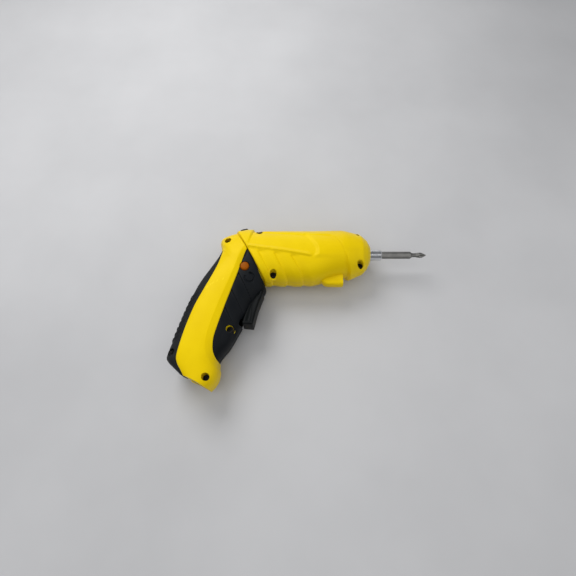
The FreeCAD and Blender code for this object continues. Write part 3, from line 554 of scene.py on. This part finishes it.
def barrel_relief(x, y, z):
    """How far the moulded detail stands proud of the barrel's plain form."""
    right = smooth(-y, 2.0, 6.0)
    ridge, along = line_distance(x, z, RIDGE)
    panel_end, _ = line_distance(x, z, PANEL_END)
    rail, _ = line_distance(x, z, TOP_RAIL)
    in_span = smooth(x, -133.0, -130.0) * smooth(-x, 69.0, 74.0)
    crest = 1.6 * np.clip(1 - np.maximum(ridge, 0) / 3.6, 0, 1)
    relief = crest * smooth(ridge, -1.9, 0.5) * in_span * right
    beyond = -panel_end
    near_end = smooth(x, -90.0, -76.0) * smooth(z, -15.0, -10.0) * smooth(-z, -15.0, -11.0)
    rim = 1.25 * np.clip(beyond / 3.2, 0, 1) * np.exp(-np.maximum(beyond - 3.2, 0) / 9.0)
    relief = relief + rim * near_end * right
    under = smooth(-z, 5.0, 21.0) * smooth(x, -76.0, -50.0)
    rail_side = smooth(rail, -0.7 - 1.1 * under, 0.7)
    relief = relief + (1.0 + 2.6 * under) * rail_side * smooth(x, -124.0, -114.0)
    for groove in GROOVES:
        off, part = line_distance(x, z, groove)
        fade = smooth(part, 0.0, 0.10) * smooth(-ridge, 1.4, 3.6)
        wall = smooth(off, -1.5, 0.5)
        slope = 1 - np.clip((off + 0.2) / 7.6, 0, 1)
        relief = relief - 1.35 * fade * wall * slope
    collar, _ = line_distance(x, z, COLLAR_EDGE)
    height = 0.5 + 2.0 * smooth(z, 0.0, 22.0)
    relief = relief + height * smooth(-collar, -0.5, 0.9) * smooth(z, -2.0, 4.0)
    joint = -behind_joint(x, z)
    relief = relief * smooth(-x, NOSE_FRONT + 0.5, NOSE_FRONT + 4.0)
    relief = relief - 3.4 * smooth(z, 15.0, 22.0) * np.clip(1 - joint / 9.0, 0, 1)
    relief = relief - 0.7 * (1 - smooth(joint, JOINT_GAP, JOINT_GAP + 1.0))
    relief = relief - 0.35 * (1 - smooth(np.abs(y), 0.0, 0.35))
    return relief


def barrel_grid(rows, cols):
    grid = np.zeros((rows, cols, 3))
    face_rows = 10
    body_rows = rows - face_rows
    for j in range(cols):
        theta = math.pi * j / (cols - 1)
        start = barrel_back(theta)
        for i in range(body_rows):
            t = i / (body_rows - 1)
            reach = 1 - (1 - t) ** 1.25
            back = start + (NOSE_FRONT - start) * reach
            grid[i, j] = barrel_point(back, theta)
        rim = grid[body_rows - 1, j]
        for i in range(face_rows):
            shrink = 1 - (i + 1) / face_rows * (1 - NOSE_HOLE / NOSE_FACE)
            grid[body_rows + i, j] = rim * np.array([1, shrink, shrink])
    return grid


def barrel_surface(x, z):
    """The y of the barrel's right side at a place seen from the side."""
    middle, high, wide, power = barrel_section(-x)
    return -wide * max(0.0, 1 - abs((z - middle) / high) ** power) ** (1 / power)


def joint_wall(name, outline, near, far, body):
    """A flat plate that closes a housing at the slanted joint, with the hub's hole through it."""
    loops = [[], [], [], []]
    for point in outline:
        flat = point - SWIVEL
        flat = flat - LEAN * (flat @ LEAN)
        length = np.linalg.norm(flat)
        for loop, depth, reach in zip(loops, (near, near, far, far), (length - 2.0, HUB_HOLE, HUB_HOLE, length - 2.0)):
            loop.append(SWIVEL + LEAN * depth + flat * (reach / length))
    place(finish_edges(loft(name, loops, True)), body, "yellow_shell")


def full_outline(half):
    """A closed outline from the right half's points, top to bottom, and their mirror images."""
    left = [np.array([x, -y, z]) for x, y, z in half[-2:0:-1]]
    return [np.array(p) for p in half] + left


def lamp_hood():
    """The hood under the nose that holds the lamp, open at the front round its lens."""
    low, high = box_mm("lamp_lens")
    middle_z = (low[2] + high[2]) / 2
    front = high[0] + 0.1
    wide = 5.0
    deep = middle_z - 5.6
    loops = []
    for x, lift, inset in ((front - 21.4, 4.6, 1.8), (front - 20.2, 3.0, 1.0), (front - 18.6, 1.5, 0.4),
                           (front - 16.6, 0.5, 0.1), (front - 14.0, 0.0, 0.0), (front - 5.0, -0.15, 0.0),
                           (front - 0.6, -0.15, 0.0), (front - 0.15, 0.05, 0.2), (front, 0.5, 0.6)):
        half = wide - inset
        bottom = deep + lift
        loop = [(x, -half, -16.0)]
        for k in range(25):
            turn = math.pi * k / 24
            c, s = math.cos(turn), math.sin(turn)
            y = -half * math.copysign(abs(c) ** 0.62, c)
            loop.append((x, y, bottom + 4.6 - 4.6 * s ** 0.62))
        loop.append((x, half, -16.0))
        loops.append(loop)
    hood = loft("lamp_hood", loops)
    cut_with(hood, [rod_mesh("bezel", (front - 0.5, 0, middle_z), (front + 1, 0, middle_z), 3.1),
                    rod_mesh("bore", (front - 14, 0, middle_z), (front - 0.4, 0, middle_z), high[1] + 0.05)])
    place(finish_edges(hood), "barrel", "yellow_shell")


def barrel_shells():
    rows, cols = 240, 150
    plain = barrel_grid(rows, cols)
    normal = grid_normals(plain, False)
    if normal[rows // 2, cols // 2, 1] > 0:
        normal = -normal
    relief = barrel_relief(plain[..., 0], plain[..., 1], plain[..., 2])
    outer = plain + normal * relief[..., None]
    outer[:, 0, 1] = -0.03
    outer[:, -1, 1] = -0.03
    outer[0] = plain[0] + normal[0] * relief[0][:, None]
    inner = plain - normal * 2.2
    inner[:, 0, 1] = -0.03
    inner[:, -1, 1] = -0.03
    for side, sign in (("right", 1), ("left", -1)):
        a = outer * np.array([1, sign, 1])
        b = inner * np.array([1, sign, 1])
        shell = weld(thick_sheet("barrel_shell_" + side, a, b, sign > 0))
        slot_low = (LOCK_LOW[0] - 0.3, LOCK_LOW[1] - 0.3, LOCK_LOW[2] - 6)
        slot_high = (LOCK_HIGH[0] - LOCK_FOOT + 0.3, LOCK_HIGH[1] + 0.3, 40)
        cutters = [box_mesh("slot", slot_low, slot_high)]
        if side == "right":
            cutters += [rod_mesh("hole", (x, -40, z), (x, -0.5, z), SINK_RADIUS) for x, z in BARREL_SCREWS]
        cut_with(shell, cutters)
        finish_edges(shell, 38)
        place(shell, "barrel", "yellow_shell", ("body_shell_" + side,))
    joint_wall("barrel_joint_wall", full_outline(list(outer[0])), JOINT_GAP + 0.1, JOINT_GAP + 0.65, "barrel")
    for k, (x, z) in enumerate(BARREL_SCREWS):
        seat = SINK_SEAT if x < -60 else NOSE_SEAT
        screw_cup("barrel_cup_%d" % k, x, z, lambda px, pz: barrel_surface(px, pz) + 0.9, seat, "barrel",
                  "yellow_shell")


barrel_shells()
lamp_hood()

# ---- handle --------------------------------------------------------------------------

# Down the handle: back edge (x, z), front edge (x, z), half width, roundness of the section.
HANDLE_STATIONS = [
    (-145.0, 20.8, -115.1, -34.4, 21.3, 2.4),
    (-152.6, 18.4, -114.0, -36.8, 21.1, 2.4),
    (-158.6, 15.0, -113.9, -39.4, 20.9, 2.4),
    (-160.2, 9.8, -115.0, -42.4, 20.7, 2.45),
    (-158.9, 4.0, -117.4, -45.9, 20.5, 2.5),
    (-160.8, -3.8, -120.8, -50.7, 20.2, 2.5),
    (-168.2, -17.2, -125.4, -58.9, 19.9, 2.6),
    (-177.6, -33.6, -130.2, -68.5, 19.7, 2.6),
    (-185.6, -53.8, -135.6, -79.6, 19.5, 2.6),
    (-192.4, -76.0, -143.2, -94.7, 19.3, 2.6),
    (-197.4, -95.0, -151.4, -106.0, 19.0, 2.6),
    (-199.4, -102.8, -153.7, -113.0, 18.6, 2.6),
    (-198.9, -106.2, -153.9, -118.6, 18.2, 2.6),
    (-195.4, -109.6, -154.9, -123.8, 17.8, 2.6),
    (-190.6, -113.8, -157.3, -128.2, 17.3, 2.55),
    (-185.6, -118.2, -160.6, -131.6, 16.7, 2.5),
]
FRONT_EDGE = [(-131.8, -3.0), (-134.0, -9.0), (-137.6, -21.3), (-143.4, -40.5), (-149.6, -61.0), (-154.0, -76.5),
              (-156.9, -88.0), (-157.6, -95.5), (-157.0, -102.0), (-154.8, -107.0), (-151.8, -110.4)]
REAR_EDGE = [(-161.4, 5.0), (-157.8, 1.4), (-156.2, -5.0), (-158.0, -15.5), (-162.0, -27.0), (-169.2, -43.2),
             (-175.4, -57.0), (-178.9, -67.0), (-183.0, -81.6), (-186.0, -96.0), (-187.6, -106.5),
             (-186.4, -112.0), (-183.4, -117.0), (-179.0, -124.2)]
STEP_LINES = [18.6, 31.3, 43.6]
RIB_TOP = -43.0
RIB_LOW = -88.0
RIB_PITCH = 5.0


def crossing(front, back, line):
    """Where a section's line meets an edge: 0 at the section's front, 1 at its back."""
    run = back - front
    for k in range(len(line) - 1):
        a, b = line[k], line[k + 1]
        step = b - a
        det = run[0] * -step[1] + step[0] * run[1]
        if abs(det) < 1e-9:
            continue
        gap = a - front
        t = (gap[0] * -step[1] + step[0] * gap[1]) / det
        u = (run[0] * gap[1] - gap[0] * run[1]) / det
        if 0 <= u <= 1 and -0.2 <= t <= 1.2:
            return float(np.clip(t, 0, 1))
    return None


def section_angle(t, power):
    c = 2 * t - 1
    return math.acos(math.copysign(abs(c) ** (power / 2), c))


def handle_rows(count):
    """Sections down the handle, with the angles at which the two cover edges cross them."""
    table = spline(HANDLE_STATIONS, count)
    front_line = spline(FRONT_EDGE, 160)
    rear_line = spline(REAR_EDGE, 160)
    rows = []
    for k, row in enumerate(table):
        back, front = row[0:2], row[2:4]
        wide, power = row[4], row[5]
        rear_t = crossing(front, back, rear_line)
        front_t = crossing(front, back, front_line)
        place_down = k / (count - 1)
        if rear_t is None:
            rear_t = 1.0
        if front_t is None:
            front_t = 0.0
        if place_down > 0.70 and front_t > 0.6:
            front_t = 0.0
        rows.append((back, front, wide, power, section_angle(rear_t, power), section_angle(front_t, power)))
    return rows


def handle_point(row, theta):
    back, front, wide, power = row[:4]
    c, s = math.cos(theta), math.sin(theta)
    c = math.copysign(abs(c) ** (2 / power), c)
    t = (c + 1) / 2
    x, z = front + (back - front) * t
    return np.array([x, -wide * abs(s) ** (2 / power), z])


def full_normals(rows, columns):
    """Outward directions on a dense grid over the whole half handle, for looking up."""
    grid = np.array([[handle_point(row, math.pi * j / (columns - 1)) for j in range(columns)] for row in rows])
    normal = grid_normals(grid, False)
    if normal[len(rows) // 2, columns // 2, 1] > 0:
        normal = -normal
    normal[:, 0, 1] = 0
    normal[:, -1, 1] = 0
    normal /= np.linalg.norm(normal, axis=2, keepdims=True)
    return normal


def handle_patch(rows, normals, first, last, start_of, end_of, columns):
    """A grid of the half handle between two angles on each section."""
    points = []
    outward = []
    steps = normals.shape[1] - 1
    for k in range(first, last):
        row = rows[k]
        a, b = start_of(row), end_of(row)
        line = []
        dirs = []
        for j in range(columns):
            theta = a + (b - a) * j / (columns - 1)
            line.append(handle_point(row, theta))
            at = theta / math.pi * steps
            low = min(int(at), steps - 1)
            mix = at - low
            dirs.append(normals[k, low] * (1 - mix) + normals[k, low + 1] * mix)
        points.append(line)
        outward.append(dirs)
    points = np.array(points)
    outward = np.array(outward)
    outward /= np.linalg.norm(outward, axis=2, keepdims=True)
    return points, outward


def edge_gap(x, z, line):
    gap, _ = line_distance(x, z, line)
    return np.abs(gap)


def part_line_groove(y):
    return -0.35 * (1 - smooth(np.abs(y), 0.0, 0.35))


def joint_round(x, z):
    return -0.7 * (1 - smooth(behind_joint(x, z), JOINT_GAP, JOINT_GAP + 1.0))


def yellow_relief(x, y, z):
    gap_front = edge_gap(x, z, FRONT_DENSE)
    gap_rear = edge_gap(x, z, REAR_DENSE)
    bevel = 3.6 + 2.6 * smooth(-z, 0.0, 80.0)
    relief = 1.9 * np.clip(gap_front / bevel, 0, 1) - 1.0
    relief = relief + 0.25 * smooth(gap_front, 0.0, 0.5)
    relief = relief * smooth(-z, -12.0, 14.0) + 0.0
    relief = relief - 0.9 * (1 - smooth(gap_rear, 0.0, 1.4)) ** 1.5 + 0.5 * smooth(gap_rear, 0, 1.4) * smooth(-z, 0, 10)
    return relief + part_line_groove(y) + joint_round(x, z)


def panel_relief(x, y, z):
    down = behind_joint(x, z)
    gap = edge_gap(x, z, FRONT_DENSE)
    relief = -0.95 + 0.85 * (1 - smooth(down, 2.0, 12.0)) * smooth(gap, 0.5, 3.0)
    side = smooth(-y, 4.0, 9.0)
    for line in STEP_LINES:
        relief = relief - 1.0 * side * smooth(down, line - 0.35, line + 0.1) * (1 - smooth(down, line + 0.1, line + 11.0))
    relief = relief - 0.5 * (1 - smooth(gap, 0.0, 0.7))
    ax, az, radius = -128.4, -33.0, 4.3
    dist = np.hypot(x - ax, z - az)
    angle = np.degrees(np.arctan2(z - az, x - ax))
    on_arc = 1 - smooth(np.abs(dist - radius), 0.45, 0.95)
    open_side = smooth(np.abs(angle - 120.0), 34.0, 40.0)
    relief = relief - 0.85 * on_arc * open_side * side
    tip_x = ax + radius * math.cos(math.radians(82.0))
    tip_z = az + radius * math.sin(math.radians(82.0))
    head = np.abs(x - tip_x) + np.abs(z - tip_z)
    relief = relief - 0.85 * (1 - smooth(head, 1.2, 1.8)) * side
    return relief + part_line_groove(y) + joint_round(x, z)


def grip_relief(x, y, z):
    gap = edge_gap(x, z, REAR_DENSE)
    relief = -1.15 + 0.85 * smooth(gap, 0.0, 2.2) + 1.5 * smooth(-z, 103.0, 110.0) * smooth(gap, 0.0, 1.2)
    along = (z - RIB_TOP) * -1.0 - 0.55 * gap
    phase = along / RIB_PITCH
    saw = phase - np.floor(phase)
    rib = smooth(saw, 0.0, 0.16) - smooth(saw, 0.16, 1.0) * 0.9
    window = smooth(along, -1.0, 1.0) * (1 - smooth(along, RIB_TOP - RIB_LOW - 1.0, RIB_TOP - RIB_LOW + 1.0))
    relief = relief + 1.5 * (rib - 0.45) * window * smooth(gap, 2.4, 4.6)
    return relief + part_line_groove(y)


def skin(name, points, outward, relief, depth):
    outer = points + outward * relief[..., None]
    inner = points - outward * depth
    for grid in (outer, inner):
        grid[..., 1] = np.minimum(grid[..., 1], -0.03)
    return outer, inner


def both_skins(name, outer, inner, body, slot, node, cut_right, cut_both):
    """The right skin, and the left one as its mirror image; screw holes are on the right only."""
    for side, sign in (("right", 1), ("left", -1)):
        a = outer * np.array([1, sign, 1])
        b = inner * np.array([1, sign, 1])
        obj = weld(thick_sheet(name + "_" + side, a, b, sign > 0))
        cutters = [make(sign) for make in cut_both]
        if side == "right":
            cutters += [make(sign) for make in cut_right]
        if cutters:
            cut_with(obj, cutters)
        finish_edges(obj, 38)
        place(obj, body, slot, (node + "_" + side,))


def screw_cutter(x, z):
    return lambda sign: rod_mesh("hole", (x, -40, z), (x, -0.5, z), SINK_RADIUS)


def button_cutter(sign):
    low, high = box_mm("reverse_button")
    x, z = (low[0] + high[0]) / 2, (low[2] + high[2]) / 2
    return rod_mesh("hole", (x, -sign * 40, z), (x, -sign * 4, z), (high[0] - low[0]) / 2 + 0.55)


def trigger_cutter(sign):
    """The opening in the front of the handle that the trigger swings in."""
    low, high = box_mm("trigger")
    half = high[1] + 0.5
    outline = [(-108.0, -43.2), (-116.0, -42.8), (-123.0, -36.2), (-128.5, -37.0), (-130.0, -43.0),
               (-130.5, -58.0), (-134.0, -69.0), (-139.5, -74.0), (-136.5, -76.2), (-108.0, -76.2)]
    return loft("hole", [[(x, y, z) for x, z in outline] for y in (-half, half)])


FRONT_DENSE = [tuple(p) for p in spline(FRONT_EDGE, 80)]
REAR_DENSE = [tuple(p) for p in spline(REAR_EDGE, 90)]
FOOT_ALONG = np.array([HANDLE_STATIONS[-1][2] - HANDLE_STATIONS[-1][0], 0,
                       HANDLE_STATIONS[-1][3] - HANDLE_STATIONS[-1][1]])
FOOT_ALONG /= np.linalg.norm(FOOT_ALONG)
FOOT_OUT = np.array([FOOT_ALONG[2], 0, -FOOT_ALONG[0]])


def handle_surface(rows, x, z):
    """The y of the handle's right side at a place seen from the side."""
    best = None
    for row in rows:
        back, front, wide, power = row[:4]
        run = back - front
        t = float(np.clip(((x, z) - front) @ run / (run @ run), 0, 1))
        off = np.linalg.norm((x, z) - (front + run * t))
        if best is None or off < best[0]:
            best = (off, -wide * max(0.0, 1 - abs(2 * t - 1) ** power) ** (1 / power))
    return best[1]


def plate(name, outline, steps):
    """A flat pad on the foot: each step is how far it stands out and how far it is drawn in."""
    middle = sum(outline) / len(outline)
    loops = []
    for stand, draw in steps:
        loop = []
        for point in outline:
            flat = point - middle
            length = np.linalg.norm(flat)
            loop.append(middle + flat * (1 - draw / length) + FOOT_OUT * stand)
        loops.append(loop)
    return loft(name, loops)


def foot(rows):
    """The closed end of the handle, with the charging socket's hole."""
    row = rows[-1]
    outline = full_outline([handle_point(row, math.pi * (1 - j / 63)) for j in range(64)])
    cap = plate("foot_cap", outline, ((-2.6, 2.2), (0.1, 1.6), (0.35, 1.9), (0.4, 2.4)))
    low, high = box_mm("charging_jack")
    jack = np.array([(low[0] + high[0]) / 2, 0, (low[2] + high[2]) / 2])
    cut_with(cap, [rod_mesh("hole", jack - FOOT_OUT * 20, jack + FOOT_OUT * 20, high[1] + 0.05)])
    place(finish_edges(cap), "handle", "yellow_shell")


def handle_covers():
    count = 240
    rows = handle_rows(count)
    normals = full_normals(rows, 181)
    rear = lambda row: row[4]
    front = lambda row: row[5]
    points, outward = handle_patch(rows, normals, 0, count, rear, front, 80)
    relief = yellow_relief(points[..., 0], points[..., 1], points[..., 2])
    outer, inner = skin("handle_cover", points, outward, relief, 3.0)
    outer[0] = points[0] + outward[0] * relief[0][:, None]
    both_skins("handle_cover", outer, inner, "handle", "yellow_shell", "handle_shell",
               [screw_cutter(x, z) for x, z in HANDLE_SCREWS], [button_cutter])

    last = max(k for k, row in enumerate(rows) if row[5] < math.pi - 1e-3) + 2
    points, outward = handle_patch(rows, normals, 0, min(last, count), front, lambda row: math.pi, 90)
    relief = panel_relief(points[..., 0], points[..., 1], points[..., 2])
    outer, inner = skin("front_cover", points, outward, relief, 2.6)
    both_skins("front_cover", outer, inner, "handle", "black_panel", "front_panel",
               [screw_cutter(x, z) for x, z in HANDLE_SCREWS[3:]], [trigger_cutter, button_cutter])

    first = min(k for k, row in enumerate(rows) if row[4] > 1e-3) - 1
    points, outward = handle_patch(rows, normals, max(first, 0), count, lambda row: 0.0, rear, 70)
    relief = grip_relief(points[..., 0], points[..., 1], points[..., 2])
    outer, inner = skin("back_grip", points, outward, relief, 2.6)
    both_skins("back_grip", outer, inner, "handle", "grip_rubber", "rear_grip",
               [screw_cutter(x, z) for x, z in HANDLE_SCREWS[2:3]], [])

    foot(rows)
    half = [handle_point(rows[0], math.pi * (1 - j / 63)) for j in range(64)]
    joint_wall("handle_joint_wall", full_outline(half), -JOINT_GAP - 0.1, -JOINT_GAP - 1.5, "handle")
    for k, (x, z) in enumerate(HANDLE_SCREWS):
        sunk = (1.0, 1.0, 2.4, 6.0)[k]
        slot = "grip_rubber" if k == 2 else "yellow_shell"
        screw_cup("handle_cup_%d" % k, x, z, lambda px, pz: handle_surface(rows, px, pz) + sunk, SINK_SEAT,
                  "handle", slot)


handle_covers()

# ---- trigger, buttons and bit ----------------------------------------------------------

def closed_spline(points, count):
    """A smooth closed curve through every point."""
    pts = np.array(points, dtype=float)
    n = len(pts)
    out = []
    for u in np.linspace(0, n, count, endpoint=False):
        i = int(u)
        t = u - i
        a, b, c, d = (pts[(i + k) % n] for k in (-1, 0, 1, 2))
        out.append(0.5 * (2 * b + (c - a) * t + (2 * a - 5 * b + 4 * c - d) * t ** 2
                          + (3 * b - a - 3 * c + d) * t ** 3))
    return np.array(out)


def inward(outline):
    """The inward direction at each point of a closed outline that runs anticlockwise."""
    run = np.roll(outline, -1, axis=0) - np.roll(outline, 1, axis=0)
    run /= np.linalg.norm(run, axis=1, keepdims=True)
    return np.stack([-run[:, 1], run[:, 0]], axis=1)


def trigger():
    """The trigger: a curved front, rounded edges and a shallow panel sunk in each side."""
    corners = [(-116.2, -43.6), (-117.2, -47.0), (-118.8, -51.4), (-120.6, -57.0), (-122.2, -63.0), (-123.6, -69.4),
               (-124.7, -74.4), (-125.6, -75.2), (-129.6, -75.0), (-133.4, -74.6), (-134.2, -73.8), (-133.2, -68.0),
               (-130.4, -58.0), (-129.2, -50.0), (-129.0, -42.5), (-127.6, -38.0), (-124.8, -37.2), (-122.6, -37.4),
               (-119.4, -39.4), (-116.8, -41.8)]
    outline = closed_spline(corners, 160)
    area = sum(a[0] * b[1] - b[0] * a[1] for a, b in zip(outline, np.roll(outline, -1, axis=0)))
    if area < 0:
        outline = outline[::-1]
    inner = inward(outline)
    low, high = box_mm("trigger")
    wide = high[1]
    edge = 1.6
    profile = [(wide - 0.35, 2.6), (wide - 0.05, 2.2), (wide, 1.9)]
    profile += [(wide - edge + edge * math.cos(t), edge - edge * math.sin(t)) for t in np.linspace(0.1, math.pi / 2, 7)]
    rounds = profile + [(-y, draw) for y, draw in reversed(profile)]
    loops = []
    for y, draw in rounds:
        flat = outline + inner * draw
        loops.append([(x, y, z) for x, z in flat])
    body = loft("trigger_lever", loops)
    place(finish_edges(body, 50), "trigger", "trigger_plastic", ("trigger",))


def rounded_rectangle(x, y, half_x, half_y, corner, z_of, steps=8):
    loop = []
    for cx, cy, start in ((1, 1, 0), (-1, 1, 90), (-1, -1, 180), (1, -1, 270)):
        for k in range(steps + 1):
            turn = math.radians(start + 90 * k / steps)
            px = x + cx * (half_x - corner) + corner * math.cos(turn)
            py = y + cy * (half_y - corner) + corner * math.sin(turn)
            loop.append((px, py, z_of(px)))
    return loop


def lock_button():
    """The black lock button: a block with a crowned top and broken edges."""
    x = (LOCK_LOW[0] + LOCK_HIGH[0] - LOCK_FOOT) / 2
    half_x = (LOCK_HIGH[0] - LOCK_FOOT - LOCK_LOW[0]) / 2
    half_y = LOCK_HIGH[1]
    top = LOCK_HIGH[2] - 1.3
    loops = []
    for drop, draw in ((top - LOCK_LOW[2], 0), (1.4, 0), (0.75, 0.12), (0.35, 0.4), (0.12, 0.8), (0.0, 1.4)):
        crown = 0.0 if drop > 5 else 1.0
        loops.append(rounded_rectangle(
            x, 0, half_x - draw, half_y - draw, 1.8 - draw * 0.5,
            lambda px: top - drop - crown * (1.2 - 1.05 * (px - x) / half_x + 0.75 * ((px - x) / half_x) ** 2)))
    place(finish_edges(loft("lock_cap", loops)), "lock", "trigger_plastic", ("lock_button",))


def reverse_button():
    """The orange reversing button: a rod across the handle with rounded ends."""
    low, high = box_mm("reverse_button")
    x, z = (low[0] + high[0]) / 2, (low[2] + high[2]) / 2
    radius = (high[0] - low[0]) / 2
    end = high[1]
    steps = [(end, 1.9), (end - 0.1, 1.3), (end - 0.35, 0.75), (end - 0.75, 0.35), (end - 1.3, 0.1), (end - 2.0, 0.0)]
    steps += [(-y, draw) for y, draw in reversed(steps)]
    loops = [ring((x, y, z), (0, 1, 0), radius - draw) for y, draw in steps]
    place(finish_edges(loft("reverse_cap", loops)), "reverse", "button_orange", ("reverse_button",))


def driver_bit():
    """The bit: a six-sided shank with broken ends, a waisted neck and a four-winged point."""
    low, high = box_mm("driver_bit")
    across = high[2] - low[2]
    back, tip = low[0], high[0]
    limit_x = [back, back + 1.2, 28.6, 31.2, 34.6, 38.4, 40.6, tip - 0.25, tip]
    limit_r = [2.7, 3.7, 3.7, 2.05, 2.05, 2.85, 2.8, 0.55, 0.3]
    places = list(np.linspace(back, back + 1.3, 5)) + list(np.linspace(back + 2, 28.4, 12))
    places += list(np.linspace(28.6, tip, 60))
    loops = []
    for x in places:
        limit = np.interp(x, limit_x, limit_r)
        wing = smooth(x, 36.6, 39.8)
        loop = []
        for k in range(96):
            turn = math.tau * k / 96
            flat = across / 2 / math.cos((turn + math.pi / 6) % (math.pi / 3) - math.pi / 6)
            radius = min(flat, limit, across * 0.563)
            hollow = (0.5 - 0.5 * math.cos(4 * turn)) ** 1.3
            radius *= 1 - 0.5 * wing * hollow
            loop.append((x, radius * math.sin(turn), radius * math.cos(turn)))
        loops.append(loop)
    place(finish_edges(loft("bit_blade", loops), 28), "bit", "bit_steel", ("driver_bit",))


trigger()
lock_button()
reverse_button()
driver_bit()

dress_cad_nodes()

# ---- stage, light and camera -----------------------------------------------------------

def stage_plane():
    """The pale surface the tool lies on, behind it in the upright frame."""
    low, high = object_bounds()
    depth = high[1] + 0.0005
    size = 1.6
    cx, cz = (low[0] + high[0]) / 2, (low[2] + high[2]) / 2
    verts = [((cx - size) / MM, depth / MM, (cz - size) / MM), ((cx + size) / MM, depth / MM, (cz - size) / MM),
             ((cx + size) / MM, depth / MM, (cz + size) / MM), ((cx - size) / MM, depth / MM, (cz + size) / MM)]
    obj = make_object("stage_floor", verts, [(0, 1, 2, 3)])
    material, tree, shader = new_material("floor_pale")
    coords = object_coords(tree)
    link(tree, ramp(tree, noise(tree, coords, 6.0), [(0.3, (0.50, 0.50, 0.51)), (0.7, (0.56, 0.56, 0.57))]),
         shader.inputs["Base Color"])
    shader.inputs["Roughness"].default_value = 0.75
    back = tree.nodes.new("ShaderNodeBsdfTransparent")
    geometry = tree.nodes.new("ShaderNodeNewGeometry")
    mix = tree.nodes.new("ShaderNodeMixShader")
    link(tree, geometry.outputs["Backfacing"], mix.inputs["Fac"])
    link(tree, shader.outputs["BSDF"], mix.inputs[1])
    link(tree, back.outputs["BSDF"], mix.inputs[2])
    link(tree, mix.outputs["Shader"], tree.nodes["Material Output"].inputs["Surface"])
    obj.data.materials.append(material)
    obj.visible_shadow = False


def light(name, place_mm, target_mm, width, power):
    data = bpy.data.lights.new(name, "AREA")
    data.shape = "DISK"
    data.size = width
    data.energy = power
    obj = bpy.data.objects.new(name, data)
    bpy.context.scene.collection.objects.link(obj)
    at = Vector(place_mm) * MM
    obj.location = at
    obj.rotation_euler = (Vector(target_mm) * MM - at).to_track_quat("-Z", "Y").to_euler()


def camera():
    """Looks down at the tool's right side, tilted back by the photo's viewing angle."""
    tilt = math.atan(375.0 / 855.0)
    data = bpy.data.cameras.new("camera")
    data.sensor_width = 36.0
    data.lens = 36.0 * 375.0 / 576.0
    data.clip_start = 0.01
    obj = bpy.data.objects.new("camera", data)
    bpy.context.scene.collection.objects.link(obj)
    forward = Vector((0, math.cos(tilt), math.sin(tilt)))
    up = Vector((0, -math.sin(tilt), math.cos(tilt)))
    right = forward.cross(up)
    turn = Matrix((right, up, -forward)).transposed().to_4x4()
    obj.matrix_world = Matrix.Translation(Vector((-93.0, -331.0, -181.0)) * MM) @ turn
    bpy.context.scene.camera = obj


stage_plane()
light("key", (-420, -620, 420), (-100, 0, -40), 0.50, 4.1)
light("fill", (500, -500, -200), (-100, 0, -40), 0.9, 1.5)
light("front", (-260, -760, -300), (-100, 0, -40), 0.9, 2.5)
light("top", (-100, -200, 700), (-100, 0, -20), 0.6, 0.8)
world = bpy.data.worlds.new("studio")
bpy.context.scene.world = world
world.use_nodes = True
world.node_tree.nodes["Background"].inputs["Color"].default_value = (0.9, 0.92, 0.95, 1)
world.node_tree.nodes["Background"].inputs["Strength"].default_value = 0.24
camera()
bpy.context.scene.view_settings.view_transform = "Standard"
